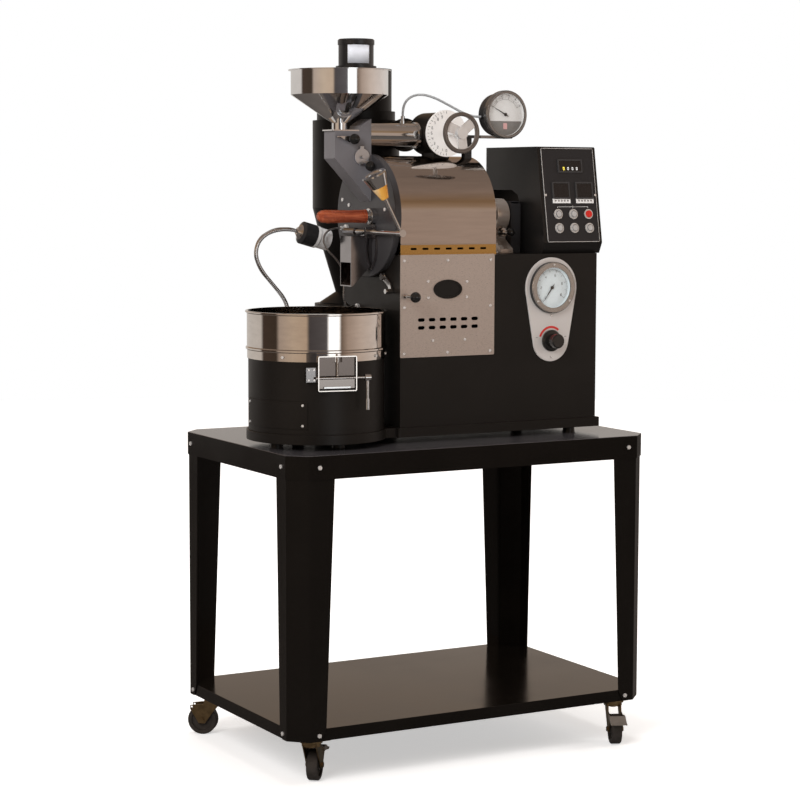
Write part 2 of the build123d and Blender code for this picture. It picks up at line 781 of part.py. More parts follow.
with BuildPart() as chain_cover:
    add(block(cover_left, cover_left + cover_width, drum_y - driven_sprocket - 14,
              motor_y + driver_sprocket + 14, cabinet_top, cover_top))
    fillet(chain_cover.edges().filter_by(Axis.X).group_by(Axis.Z)[-1], 12)
    add(block(cover_left + sheet, cover_left + cover_width - sheet,
              drum_y - driven_sprocket - 14 + sheet, motor_y + driver_sprocket + 14 - sheet,
              cabinet_top - 1, cover_top - sheet), mode=Mode.SUBTRACT)
    add(disc(side(cover_left - 1, drum_y, drum_z), shaft_radius + 2, 5), mode=Mode.SUBTRACT)
    add(disc(side(cover_left + cover_width - sheet - 1, motor_y, motor_z), 10, 5),
        mode=Mode.SUBTRACT)
chain_x = cover_left + 9.5


def belt(plane, a, a_radius, b, b_radius):
    # Two circles and the strip between their outer tangents
    span = math.hypot(b[0] - a[0], b[1] - a[1])
    heading = math.atan2(b[1] - a[1], b[0] - a[0])
    slope = math.asin((a_radius - b_radius) / span)

    def at(centre, radius, angle):
        return (centre[0] + radius * math.cos(angle), centre[1] + radius * math.sin(angle))

    upper, lower = heading + math.pi / 2 - slope, heading - math.pi / 2 + slope
    with BuildSketch(plane) as outline:
        with Locations(a):
            Circle(a_radius)
        with Locations(b):
            Circle(b_radius)
        with BuildLine():
            Polyline(at(a, a_radius, upper), at(b, b_radius, upper),
                     at(b, b_radius, lower), at(a, a_radius, lower), close=True)
        make_face()
    return outline.sketch


def chain_loop(grow):
    return belt(side(chain_x, 0, 0), (drum_y, drum_z), driven_sprocket + grow,
                (motor_y, motor_z), driver_sprocket + grow)


with BuildPart() as chain:
    extrude(chain_loop(body_gap + 1.5), amount=4)
    extrude(chain_loop(body_gap), amount=4, mode=Mode.SUBTRACT)
save_group([pedestal.part, chain_cover.part, chain.part], "drum_bearing")

# Motor sprocket and its output shaft
with BuildPart() as motor_sprocket:
    add(sprocket(cover_left + 9, motor_y, motor_z, driver_sprocket, 12, 0))
    add(disc(side(cover_left + 14, motor_y, motor_z), 8, 40))
save(motor_sprocket, "motor_sprocket")

# Spring pin with a ball knob in the pedestal
pin_x = pedestal_left + pedestal_width / 2
pin_face_y = drum_y - pin_boss
with BuildPart() as cover_lock_pin:
    add(turned((pin_x, pin_face_y, pin_z), (0, -1, 0), [
        (0, -20), (5, -20), (5, body_gap), (12, body_gap), (12, 12), (9, 20), (5, 24),
        (4, 34), (0, 34),
    ]))
    add(ball(pin_x, pin_face_y - 42, pin_z, 10))
save(cover_lock_pin, "cover_lock_pin")

# Drive motor, stirrer motor and fan motor
box_face_x = cover_left + cover_width + 5.5
with BuildPart() as drive_motor:
    add(block(box_face_x, box_face_x + 58, motor_y - 42, motor_y + 42,
              motor_z - 42, motor_z + 42))
    fillet(drive_motor.edges().filter_by(Axis.X), 10)
    add(disc(side(box_face_x - 3, motor_y, motor_z), 22, 3))
    add(disc(side(box_face_x - 4, motor_y, motor_z), 8 + running_fit, 32), mode=Mode.SUBTRACT)
    add(disc(side(box_face_x + 58, motor_y, motor_z), 40, 82))
    add(disc(side(box_face_x + 140, motor_y, motor_z), 34, 14))
    add(block(box_face_x + 4, box_face_x + 54, motor_y - 50, motor_y + 36,
              cabinet_top, motor_z - 36))
stir_top = screen_z - 12
stir_radius = 8.0
with BuildPart() as stir_motor:
    add(disc(level(bin_x, bin_y, base_top), 44, 48))
    add(block(bin_x - 36, bin_x + 36, bin_y - 36, bin_y + 36, base_top + 48, stir_top))
    add(disc(level(bin_x, bin_y, stir_top - 36), stir_radius + running_fit, 40),
        mode=Mode.SUBTRACT)
cyclone_top = pipe_z + 41
fan_z = cyclone_top + fan_flange_thick
fan_top = fan_z + fan_height
with BuildPart() as fan_motor:
    add(disc(level(cyclone_x, cyclone_y, fan_top), 52, 8))
    add(disc(level(cyclone_x, cyclone_y, fan_top + 8), 45, 54))
    add(disc(level(cyclone_x, cyclone_y, fan_top + 62), 47, 14))
    chamfer(fan_motor.faces().sort_by(Axis.Z)[-1].edges(), 3)
    add(disc(level(cyclone_x, cyclone_y, fan_top - 1), 6 + running_fit, 40),
        mode=Mode.SUBTRACT)
save_group([drive_motor.part, stir_motor.part, fan_motor.part], "motors")

# Feed chute: slanted box on the face plate with a gate slot and the exhaust outlet
chute_y = -50.0
flange_z = pipe_z + 7
gate_z = pipe_z - 9
chute_top_z = pipe_z + 37
chute_foot_z = drum_z + 34
chute_bend_z = drum_z + 138
flap_z = drum_z + 142
chute_outline = [
    (chute_left, flange_z), (chute_step, flange_z), (chute_step + 3, flange_z + 13),
    (chute_step + 19, flange_z + 24), (plate_left, chute_top_z), (plate_left, chute_foot_z),
    (chute_left, chute_bend_z),
]
with BuildPart() as feed_chute:
    add(slab(front(0, chute_y + chute_half, 0), chute_outline, 2 * chute_half))
    with BuildSketch(front(0, chute_y + inner_half, 0)):
        with BuildLine():
            Polyline(*chute_outline, close=True)
        make_face()
        offset(amount=-chute_sheet, kind=Kind.INTERSECTION)
    extrude(amount=2 * inner_half, mode=Mode.SUBTRACT)
    # Way into the drum, way to the exhaust pipe, hopper mouth
    add(block(plate_left - chute_sheet - 1, plate_left + 1, chute_y - inner_half,
              chute_y + inner_half, feed_z0, feed_z1), mode=Mode.SUBTRACT)
    add(disc(side(plate_left - chute_sheet - 1, chute_y, pipe_z), pipe_radius - sheet, 10),
        mode=Mode.SUBTRACT)
    add(disc(level(hopper_x, chute_y, flange_z - chute_sheet - 1), hopper_neck - hopper_sheet,
             10), mode=Mode.SUBTRACT)
    # Partition and ledges that carry the gate
    add(block(chute_step - 2 - chute_sheet, chute_step - 2, chute_y - inner_half,
              chute_y + inner_half, gate_z - 12, flange_z - chute_sheet))
    add(block(chute_left + chute_sheet, chute_left + chute_sheet + 6, chute_y - inner_half,
              chute_y + inner_half, gate_z - 4, gate_z))
    add(block(chute_step - 10, chute_step - 2 - chute_sheet, chute_y - inner_half,
              chute_y + inner_half, gate_z - 4, gate_z))
    add(block(chute_left + chute_sheet, chute_step - 2 - chute_sheet,
              chute_y - chute_half - 1, chute_y - inner_half + 1, gate_z,
              gate_z + gate_sheet + 2 * body_gap), mode=Mode.SUBTRACT)
    # Bores for the flap's spindle
    add(disc(front(flap_x, chute_y + chute_half + 1, flap_z), 4 + running_fit,
             2 * chute_half + 2), mode=Mode.SUBTRACT)
save(feed_chute, "feed_chute")

# Hopper: rolled rim, cylinder, cone, neck and square flange
hopper_foot = flange_z + 3
cone_foot = flange_z + 19
cone_top = flange_z + 86
hopper_top = flange_z + 144
with BuildPart() as hopper:
    add(turned((hopper_x, chute_y, 0), (0, 0, 1), [
        (hopper_neck - hopper_sheet, flange_z), (hopper_neck, flange_z),
        (hopper_neck, cone_foot), (hopper_rim, cone_top), (hopper_rim, hopper_top),
        (hopper_rim + 6, hopper_top), (hopper_rim + 6, hopper_top + 2),
        (hopper_rim - hopper_sheet, hopper_top + 2), (hopper_rim - hopper_sheet, cone_top),
        (hopper_neck - hopper_sheet, cone_foot),
    ]))
    with BuildSketch(level((chute_left + chute_step) / 2 - 3, chute_y, flange_z)):
        RectangleRounded(chute_step - chute_left + 6, 2 * chute_half, 3)
    extrude(amount=hopper_foot - flange_z)
    add(disc(level(hopper_x, chute_y, flange_z - 1), hopper_neck - hopper_sheet, 6),
        mode=Mode.SUBTRACT)
save(hopper, "hopper")

# Hopper gate: a plate in the chute's slot with a triangular tab and a ball
gate_x0 = chute_left + chute_sheet + body_gap
gate_x1 = chute_step - 2 - chute_sheet - body_gap
gate_front = chute_y - chute_half - 6
ball_x = -224.0
with BuildPart() as hopper_gate:
    add(block(gate_x0, gate_x1, gate_front, chute_y + inner_half - body_gap,
              gate_z + body_gap, gate_z + body_gap + gate_sheet))
    add(slab(front(0, gate_front, 0), [
        (gate_x0 + 4, gate_z + body_gap + gate_sheet), (ball_x + 10, gate_z + gate_sheet),
        (ball_x + 2, gate_z - 10), (ball_x - 8, gate_z - 12),
    ], sheet))
    add(disc(front(ball_x, gate_front, gate_z - 4), 4, 8))
    add(ball(ball_x, gate_front - 14, gate_z - 4, 13))
save(hopper_gate, "hopper_gate")

# Chute flap: spindle with an inner blade, an outer disc and a ball
blade_below = 50.0
blade_above = 31.0
flap_face = chute_y - chute_half
with BuildPart() as chute_flap:
    add(disc(front(flap_x, chute_y + chute_half, flap_z), 4, 2 * chute_half + 12))
    blade = Plane(origin=(flap_x, chute_y + inner_half - 1, flap_z),
                  x_dir=(0, 0, 1), z_dir=(0, -1, 0))
    with BuildSketch(blade):
        with Locations(((blade_above - blade_below) / 2, 0)):
            Rectangle(blade_above + blade_below, 3)
    extrude(amount=2 * inner_half - 2)
    add(disc(front(flap_x, flap_face - body_gap, flap_z), 20, 4))
    add(block(flap_x - 5, flap_x + 5, flap_face - body_gap - 4, flap_face - body_gap,
              flap_z + 16, flap_z + 26))
    add(disc(front(flap_x + 11, flap_face - 3, flap_z - 14), 4, 18))
    add(ball(flap_x + 11, flap_face - 24, flap_z - 22, 12))
    add(disc(front(flap_x + 11, flap_face - 12, flap_z - 18), 6, 8))
save(chute_flap, "chute_flap")

# Trier: turning sleeve in the face plate and a sliding scoop with a wooden handle
scoop_radius = 11.0
with BuildPart() as trier_sleeve:
    add(disc(side(plate_left - 17, trier_y, trier_z), 20, 17 - body_gap))
    add(disc(side(plate_left - body_gap, trier_y, trier_z), sleeve_radius,
             face_plate_thick + 3))
    add(disc(side(plate_left - 18, trier_y, trier_z), scoop_radius + running_fit,
             face_plate_thick + 30), mode=Mode.SUBTRACT)
    fillet(trier_sleeve.edges().filter_by(GeomType.CIRCLE).group_by(Axis.X)[0], 1.5)
save(trier_sleeve, "trier_sleeve")
handle_x = plate_left - 25
scoop_end = cabinet_left + 42
with BuildPart() as trier_rod:
    add(disc(side(handle_x, trier_y, trier_z), scoop_radius, scoop_end - handle_x))
    add(disc(side(cabinet_left - 2, trier_y, trier_z), scoop_radius - 1.5, 40),
        mode=Mode.SUBTRACT)
    add(block(cabinet_left - 2, scoop_end - 4, trier_y - 15, trier_y + 15, trier_z + 1,
              trier_z + 15), mode=Mode.SUBTRACT)
    add(disc(side(handle_x - 2, trier_y, trier_z), handle_radius + 1, 3))
with BuildPart() as trier_handle:
    add(turned((handle_x - 2, trier_y, trier_z), (-1, 0, 0), [
        (0, 0), (handle_radius - 1, 0), (handle_radius, 6), (handle_radius - 1, 40),
        (handle_radius - 0.5, 75), (handle_radius, 105), (handle_radius - 1.5, 117),
        (handle_radius - 5, 124), (handle_radius - 10, handle_length), (0, handle_length),
    ]))
save_group([trier_rod.part, trier_handle.part], "trier")

# Discharge door: plate, cross shaft, lever rod and conical counterweight
door_z = drum_z - 39
lever_tilt = 28.0
shaft_front = -249.0
shaft_back = 33.0
door_hub_y0 = spout_y0 + sheet + body_gap
door_hub_y1 = spout_y1 - sheet - body_gap
lever_dir = (-math.sin(math.radians(lever_tilt)), 0, math.cos(math.radians(lever_tilt)))


def on_lever(distance):
    return (door_axis_x + lever_dir[0] * distance, shaft_front, door_z + lever_dir[2] * distance)


rod_end = 92.0
with BuildPart() as door_arm:
    add(disc(front(door_axis_x, shaft_back, door_z), door_shaft_radius,
             shaft_back - shaft_front))
    add(disc(front(door_axis_x, shaft_front + 9, door_z), 9, 18))
    add(block(door_axis_x - 4, plate_left - body_gap, door_hub_y0 + 1, door_hub_y1 - 1,
              door_z - 5, door_z))
    add(block(plate_left - 3 - body_gap, plate_left - body_gap, door_hub_y0 + 1,
              door_hub_y1 - 1, drop_z0 - 3, door_z))
    add(turned(on_lever(0), lever_dir, [(0, 0), (4.5, 0), (4.5, rod_end), (0, rod_end)]))
with BuildPart() as door_weight:
    add(turned(on_lever(rod_end), lever_dir, [
        (0, 0), (9, 0), (weight_radius, weight_height - 4), (weight_radius - 1, weight_height),
        (weight_radius - 9, weight_height), (weight_radius - 11, weight_height - 3),
        (0, weight_height - 3),
    ]))
save_group([door_arm.part, door_weight.part], "discharge_door")

# Discharge spout with a mouth towards the cooling bin, ring and shaft brackets
spout_top = door_z - 10
spout_foot = drum_z - 171
mouth_z = drum_z - 117
ring_z = drum_z - 77
with BuildPart() as spout:
    profile = [
        (plate_left, spout_top), (spout_left, spout_top), (spout_left, mouth_z + 4),
        (spout_left, spout_foot), (spout_left + 4, spout_foot), (plate_left, mouth_z),
    ]
    add(slab(front(0, spout_y1, 0), profile, spout_y1 - spout_y0))
    add(slab(front(0, spout_y1 - sheet, 0), [
        (plate_left + 1, spout_top + 1), (spout_left + sheet, spout_top + 1),
        (spout_left + sheet, mouth_z + 4), (spout_left - 1, mouth_z + 4),
        (spout_left - 1, spout_foot + 3), (spout_left + 4, spout_foot + 3),
        (plate_left + 1, mouth_z + 3),
    ], spout_y1 - spout_y0 - 2 * sheet), mode=Mode.SUBTRACT)
with BuildPart() as spout_ring:
    with BuildSketch(side(plate_left - 3.5, -45, ring_z)):
        Circle(68)
        Circle(60, mode=Mode.SUBTRACT)
    extrude(amount=3.5)
    add(block(plate_left - 10, plate_left, spout_y0 - body_gap, spout_y1 + body_gap,
              ring_z - 80, spout_top + 0.5), mode=Mode.SUBTRACT)
    add(block(plate_left - 10, plate_left, -200, 100, door_z - 16, door_z + 60),
        mode=Mode.SUBTRACT)
with BuildPart() as shaft_sleeve:
    add(disc(front(door_axis_x, shaft_back - 1, door_z), 9, shaft_back + 23))
    add(block(door_axis_x, plate_left, -20, shaft_back - 3, door_z - 5, door_z + 5))
    add(disc(front(door_axis_x, shaft_back, door_z), door_shaft_radius + running_fit, 80),
        mode=Mode.SUBTRACT)
with BuildPart() as shaft_bracket:
    add(block(plate_left - 4, plate_left, spout_y0 - 22, spout_y0 - 3, door_z - 14, door_z + 16))
    add(block(door_axis_x - 12, plate_left, spout_y0 - 12, spout_y0 - 3, door_z - 14,
              door_z + 12))
    add(disc(front(door_axis_x, spout_y0 + 5, door_z), door_shaft_radius + running_fit, 60),
        mode=Mode.SUBTRACT)
save_group([spout.part, *spout_ring.part.solids(), shaft_sleeve.part, shaft_bracket.part],
           "discharge_spout")

# Swing latch on the cabinet's left wall
latch_y, latch_z = -122.0, cabinet_top - 52
with BuildPart() as side_latch:
    with BuildSketch(side(cabinet_left - 7, 0, 0)):
        with BuildLine():
            Polyline(
                (latch_y + 8, latch_z + 6), (latch_y - 2, latch_z + 9),
                (latch_y - 34, latch_z - 14), (latch_y - 44, latch_z - 36),
                (latch_y - 34, latch_z - 40), (latch_y - 24, latch_z - 22),
                (latch_y + 6, latch_z - 6), close=True,
            )
        make_face()
    extrude(amount=5 - body_gap)
    add(disc(side(cabinet_left - 12, latch_y, latch_z), 8, 12 - body_gap))
    add(disc(side(cabinet_left - 22, latch_y - 38, latch_z - 34), 6, 16))
save(side_latch, "side_latch")


# Cooling bin: black body on the base, with the discharge opening and the front hatch
exit_turn_rad = math.radians(exit_turn)
out_x, out_y = math.sin(exit_turn_rad), -math.cos(exit_turn_rad)
exit_z = (base_top + 103 + base_top + 103 + exit_height) / 2
flap_axis_z = exit_z - 10.5
opening_half = exit_width / 2 - 8


def around_bin(turn_deg, radial, z):
    # Looks at the bin from outside, at an angle from the front; the normal points outward
    a = math.radians(turn_deg)
    nx, ny = math.sin(a), -math.cos(a)
    return Plane(origin=(bin_x + nx * radial, bin_y + ny * radial, z),
                 x_dir=(-ny, nx, 0), z_dir=(nx, ny, 0))


with BuildPart() as bin_body:
    add(disc(level(bin_x, bin_y, base_top), bin_radius, bin_body_height,
             bin_radius - sheet))
    add(disc(level(bin_x, bin_y, screen_z - 4), bin_radius - sheet / 2, 4, bin_radius - 10))
    with BuildSketch(around_bin(exit_turn, bin_radius - 20, exit_z)):
        Rectangle(2 * opening_half, exit_height - 16)
    extrude(amount=40, mode=Mode.SUBTRACT)
    with BuildSketch(level(bin_x, bin_y, screen_z - 12)):
        with PolarLocations((bin_radius + 40) / 2, 3):
            Rectangle(bin_radius - 44, 8)
        Circle(30)
        Circle(stir_radius + running_fit + 1, mode=Mode.SUBTRACT)
    extrude(amount=12 - body_gap)
hatch_turn, hatch_span = -68.0, 34.0
with BuildPart() as bin_hatch:
    with BuildSketch(level(bin_x, bin_y, base_top + 14)):
        Circle(bin_radius + 2.5)
        Circle(bin_radius, mode=Mode.SUBTRACT)
        with BuildLine():
            reach = 2 * bin_radius
            a0 = math.radians(hatch_turn - hatch_span)
            a1 = math.radians(hatch_turn + hatch_span)
            Polyline(
                (0, 0), (reach * math.sin(a0), -reach * math.cos(a0)),
                (reach * math.sin(a1), -reach * math.cos(a1)), close=True,
            )
        make_face(mode=Mode.INTERSECT)
    extrude(amount=64)
save_group([bin_body.part, bin_hatch.part], "cooling_bin")

# Polished ring with its band, bead and rim, the perforated floor and the exit frame
with BuildPart() as bin_ring:
    add(turned((bin_x, bin_y, 0), (0, 0, 1), [
        (bin_radius - sheet, bin_body_top), (bin_radius + 2.5, bin_body_top),
        (bin_radius + 2.5, band_top), (ring_radius + 3, band_top + 2),
        (ring_radius + 3, band_top + 6), (ring_radius, band_top + 8),
        (ring_radius, ring_top - 6), (rim_radius, ring_top - 4), (rim_radius, ring_top - 1),
        (rim_radius - 1, ring_top), (ring_radius - sheet, ring_top),
        (ring_radius - sheet, band_top + 4), (bin_radius - sheet, band_top),
    ]))
with BuildPart() as bin_screen:
    with BuildSketch(level(bin_x, bin_y, screen_z)):
        Circle(bin_radius - sheet - body_gap)
        Circle(stir_radius + 2, mode=Mode.SUBTRACT)
        for row in range(7):
            row_radius = 36.0 + 19.5 * row
            with PolarLocations(row_radius, 11 + 6 * row):
                Circle(3, mode=Mode.SUBTRACT)
    extrude(amount=screen_sheet)
frame_back = bin_radius - 12
frame_front = bin_radius + 9
bin_solid = [disc(level(bin_x, bin_y, base_top), bin_radius, bin_body_height),
             disc(level(bin_x, bin_y, bin_body_top), bin_radius + 2.5, band_height)]
with BuildPart() as exit_frame:
    with BuildSketch(around_bin(exit_turn, frame_back, exit_z)):
        RectangleRounded(exit_width, exit_height, 4)
        Rectangle(exit_width - 5, exit_height - 5, mode=Mode.SUBTRACT)
    extrude(amount=frame_front - frame_back)
    with BuildSketch(around_bin(exit_turn, bin_radius + 0.5, 0)):
        with Locations((0, (flap_axis_z + 5 + exit_z + exit_height / 2) / 2)):
            Rectangle(exit_width - 4, exit_z + exit_height / 2 - flap_axis_z - 5)
    extrude(amount=1.5)
    for part in bin_solid:
        add(part, mode=Mode.SUBTRACT)
    # Bores for the flap's rod and the detent bolt above it
    rod_radial = bin_radius + 5
    flap_rod_radius = 3.0
    along = Vector(math.cos(exit_turn_rad), math.sin(exit_turn_rad), 0)
    rod_centre = Vector(bin_x + out_x * rod_radial, bin_y + out_y * rod_radial, flap_axis_z)
    rod_start = exit_width / 2 + 3

    def on_rod(distance):
        return Plane(origin=rod_centre + along * distance, x_dir=(0, 0, 1), z_dir=along)

    add(disc(on_rod(-rod_start - 4), flap_rod_radius + running_fit, 2 * rod_start + 8),
        mode=Mode.SUBTRACT)
    bolt_top = band_top - 0.5
    add(turned((rod_centre.X, rod_centre.Y, 0), (0, 0, 1), [
        (0, flap_axis_z + 4.5), (2.8, flap_axis_z + 4.5), (2.8, flap_axis_z + 8),
        (1.8, flap_axis_z + 9), (1.8, bolt_top - 4.5), (2.2, bolt_top - 4.5),
        (2.2, bolt_top), (0, bolt_top),
    ]))
with BuildPart() as hinge_plate:
    with BuildSketch(around_bin(exit_turn, 0, flap_axis_z + 8)):
        with Locations((-exit_width / 2 - 13, 0)):
            Rectangle(26, 34)
    extrude(amount=bin_radius - 2)
    add(disc(level(bin_x, bin_y, base_top), bin_radius, bin_body_height), mode=Mode.SUBTRACT)
save_group([bin_ring.part, exit_frame.part, hinge_plate.part], "cooling_ring")
save(bin_screen, "bin_screen")

# Exit flap on its rod, with the lever hanging at the right
lever_x = exit_width / 2 + 27
lever_length = 72.0
with BuildPart() as exit_door:
    add(disc(on_rod(-rod_start - 2), flap_rod_radius, rod_start + 2 + lever_x))
    with BuildSketch(around_bin(exit_turn, bin_radius + 1, flap_axis_z - 0.5)):
        with Locations((0, -exit_flap_height / 2 + 2)):
            Rectangle(exit_width - 5 - 2 * body_gap - 1, exit_flap_height + 2)
    extrude(amount=2)
    with BuildSketch(around_bin(exit_turn, bin_radius + 1, flap_axis_z - exit_flap_height + 3)):
        Rectangle(exit_width - 30, 4)
    extrude(amount=6)
    add(disc(on_rod(lever_x - 7), 8, 14))
    lever_foot = rod_centre + along * lever_x
    with BuildSketch(Plane(origin=lever_foot, x_dir=along, z_dir=(0, 0, -1))):
        Circle(3.5)
    extrude(amount=lever_length)
    with BuildSketch(Plane(origin=lever_foot - Vector(0, 0, lever_length - 22),
                           x_dir=along, z_dir=(0, 0, -1))):
        Circle(5.5)
    extrude(amount=26)
save(exit_door, "exit_door")

# Stirrer: shaft, hub and four arms with sweeping blades
arm_z = screen_z + 36
arm_reach = bin_radius - sheet - 6
with BuildPart() as stirrer:
    add(disc(level(bin_x, bin_y, stir_top - 33), stir_radius, arm_z + 14 - stir_top + 33))
    add(disc(level(bin_x, bin_y, screen_z + screen_sheet + 4), 20, 46))
    fillet(stirrer.faces().sort_by(Axis.Z)[-1].edges(), 2)
    for turn_deg in (20, 110, 200, 290):
        a = math.radians(turn_deg)
        arm_dir = Vector(math.cos(a), math.sin(a), 0)
        arm = Plane(origin=(bin_x, bin_y, arm_z), x_dir=(0, 0, 1), z_dir=arm_dir)
        add(disc(arm, 5, arm_reach - 4))
        first = 34 if turn_deg % 180 == 20 else 60
        blade_plane = Plane(origin=Vector(bin_x, bin_y, 0) + arm_dir * first,
                            x_dir=(-math.sin(a), math.cos(a), 0), z_dir=arm_dir)
        with BuildSketch(blade_plane):
            with Locations((0, (screen_z + screen_sheet + 3 + arm_z) / 2)):
                Rectangle(3, arm_z - screen_z - screen_sheet - 3)
        extrude(amount=arm_reach - first - 8)
save(stirrer, "stirrer")

# Exhaust pipe, damper housing with its scale, and the duct to the cyclone
damper_z = pipe_z + 4
damper_back = -10.0
duct_end = cabinet_back + 5
spindle_radius = 5.0
nipple_x = -65.0
tube_start_z = pipe_z + 46
with BuildPart() as exhaust_duct:
    add(disc(side(plate_left, chute_y, pipe_z), pipe_radius, damper_x - plate_left))
    add(disc(side(nipple_x + 30, chute_y, pipe_z), pipe_radius + 4, 6))
    add(disc(front(damper_x, damper_back, damper_z), damper_radius,
             damper_back - damper_front))
    add(disc(front(damper_x, duct_end, damper_z), duct_radius, duct_end - damper_back))
    add(disc(front(damper_x, duct_end, damper_z), duct_radius + 8, 4))
    add(block(damper_x - 22, damper_x + 22, damper_front + 20, damper_back - 15,
              drum_z + jacket_radius - 20, damper_z - damper_radius + 6))
    add(disc(side(damper_x - 30, drum_y, drum_z), jacket_radius, 60), mode=Mode.SUBTRACT)
    add(disc(side(plate_left - 1, chute_y, pipe_z), pipe_radius - sheet,
             damper_x - plate_left + 1), mode=Mode.SUBTRACT)
    add(disc(front(damper_x, damper_back - sheet, damper_z), damper_radius - 2.5,
             damper_back - damper_front - 6), mode=Mode.SUBTRACT)
    add(disc(front(damper_x, duct_end + 1, damper_z), duct_radius - sheet,
             duct_end - damper_back + 10), mode=Mode.SUBTRACT)
    add(disc(front(damper_x, damper_front + 10, damper_z), spindle_radius + running_fit, 20),
        mode=Mode.SUBTRACT)
    add(disc(level(nipple_x, chute_y, pipe_z + pipe_radius - 1), 5,
             tube_start_z - pipe_z - pipe_radius + 1))
    add(disc(level(nipple_x, chute_y, pipe_z + pipe_radius - 1), 7, 8))
with BuildPart() as damper_scale:
    add(disc(front(damper_x, damper_front, damper_z), dial_radius, 4,
             spindle_radius + body_gap))
save_group([exhaust_duct.part, damper_scale.part], "exhaust_duct")

# Damper wheel: rim, three spokes, spindle and the curved shutter over the pipe's mouth
shutter_radius = damper_radius - 2.5 - body_gap - 1
with BuildPart() as damper_wheel:
    with BuildSketch(front(damper_x, wheel_plane_y + 6, damper_z)):
        Circle(hand_wheel_radius)
        Circle(hand_wheel_radius - 10, mode=Mode.SUBTRACT)
    extrude(amount=12)
    fillet(damper_wheel.edges().filter_by(GeomType.CIRCLE), 4)
    add(disc(front(damper_x, wheel_plane_y + 14, damper_z), 15, 22))
    with BuildSketch(front(damper_x, wheel_plane_y + 4, damper_z)):
        with PolarLocations((hand_wheel_radius - 4) / 2, 3, start_angle=38):
            Rectangle(hand_wheel_radius - 6, 24)
    extrude(amount=6)
    add(disc(front(damper_x, damper_back - 18, damper_z), spindle_radius,
             damper_back - 18 - wheel_plane_y))
    with BuildSketch(front(damper_x, damper_back - 12, damper_z)):
        Circle(shutter_radius)
        Circle(shutter_radius - 2, mode=Mode.SUBTRACT)
        with Locations((shutter_radius, 0)):
            Rectangle(2.7 * shutter_radius, 3 * shutter_radius, mode=Mode.SUBTRACT)
    extrude(amount=damper_back - damper_front - 30)
    with BuildSketch(front(damper_x, damper_back - 40, damper_z)):
        with Locations((-shutter_radius / 2, 0)):
            Rectangle(shutter_radius - 1, 8)
    extrude(amount=4)
save(damper_wheel, "damper_wheel")

# Cyclone with its inlet, bracket and lid over the chaff bucket; fan housing on top
cone_top_z = pipe_z - 181
cone_mid_z = cabinet_top + 2
cone_foot_z = cabinet_top - 105
lid_z = cone_foot_z - 29
wall = cyclone_wall
with BuildPart() as cyclone:
    add(turned((cyclone_x, cyclone_y, 0), (0, 0, 1), [
        (0, lid_z), (92, lid_z), (92, lid_z + 3), (53, cone_foot_z), (52, cone_foot_z),
        (84, cone_mid_z), (cyclone_radius, cone_top_z), (cyclone_radius, cyclone_top),
        (0, cyclone_top),
    ]))
    add(disc(front(damper_x, cyclone_y - 50, damper_z), duct_radius,
             cyclone_y - 50 - duct_end))
    add(disc(front(damper_x, duct_end + 4, damper_z), duct_radius + 8, 4))
    add(block(cyclone_x - 34, cyclone_x + 34, cabinet_back, cyclone_y - 70,
              cabinet_top - 8, cabinet_top - 2))
    add(block(cyclone_x - 34, cyclone_x + 34, cabinet_back, cabinet_back + 4,
              cabinet_top - 60, cabinet_top - 2))
    add(turned((cyclone_x, cyclone_y, 0), (0, 0, 1), [
        (0, lid_z - 1), (92 - wall, lid_z - 1), (92 - wall, lid_z + 2),
        (51 - wall, cone_foot_z + 1), (84 - wall, cone_mid_z),
        (cyclone_radius - wall, cone_top_z), (cyclone_radius - wall, cyclone_top - wall),
        (0, cyclone_top - wall),
    ]), mode=Mode.SUBTRACT)
    add(disc(front(damper_x, cyclone_y - 50, damper_z), duct_radius - wall,
             cyclone_y - 50 - duct_end + 1), mode=Mode.SUBTRACT)
    add(disc(level(cyclone_x, cyclone_y, cyclone_top - 80), 40, 80, 40 - wall))
    add(disc(level(cyclone_x, cyclone_y, cyclone_top - 10), 40 - wall, 20),
        mode=Mode.SUBTRACT)
outlet_z = fan_z + 54
outlet_end = 369.3
with BuildPart() as fan_housing:
    add(disc(level(cyclone_x, cyclone_y, cyclone_top), fan_flange_radius, fan_flange_thick))
    add(disc(level(cyclone_x, cyclone_y, fan_z), fan_radius, fan_height))
    add(disc(front(cyclone_x, outlet_end, outlet_z), outlet_radius, outlet_end - cyclone_y))
    add(disc(front(cyclone_x, outlet_end, outlet_z), outlet_radius + 2, outlet_collar))
    add(disc(level(cyclone_x, cyclone_y, fan_z), fan_radius - sheet, fan_height - sheet),
        mode=Mode.SUBTRACT)
    add(disc(level(cyclone_x, cyclone_y, cyclone_top - 1), 40 - wall, fan_flange_thick + 2),
        mode=Mode.SUBTRACT)
    add(disc(front(cyclone_x, outlet_end + 1, outlet_z), outlet_radius - sheet,
             outlet_end + 1 - cyclone_y), mode=Mode.SUBTRACT)
    add(disc(level(cyclone_x, cyclone_y, fan_top - sheet - 1), 9, sheet + 2),
        mode=Mode.SUBTRACT)
save_group([cyclone.part, fan_housing.part], "cyclone")

# Fan impeller on the motor's shaft
with BuildPart() as fan_impeller:
    add(disc(level(cyclone_x, cyclone_y, fan_z + 84), fan_radius - 14, 3))
    add(disc(level(cyclone_x, cyclone_y, fan_z + 66), 14, 22))
    add(disc(level(cyclone_x, cyclone_y, fan_z + 70), 6, fan_height - 70 + 36))
    with BuildSketch(level(cyclone_x, cyclone_y, fan_z + 10)):
        with PolarLocations(fan_radius - 30, 10, rotate=True):
            Rectangle(30, 2.5, rotation=35)
    extrude(amount=75)
save(fan_impeller, "fan_impeller")

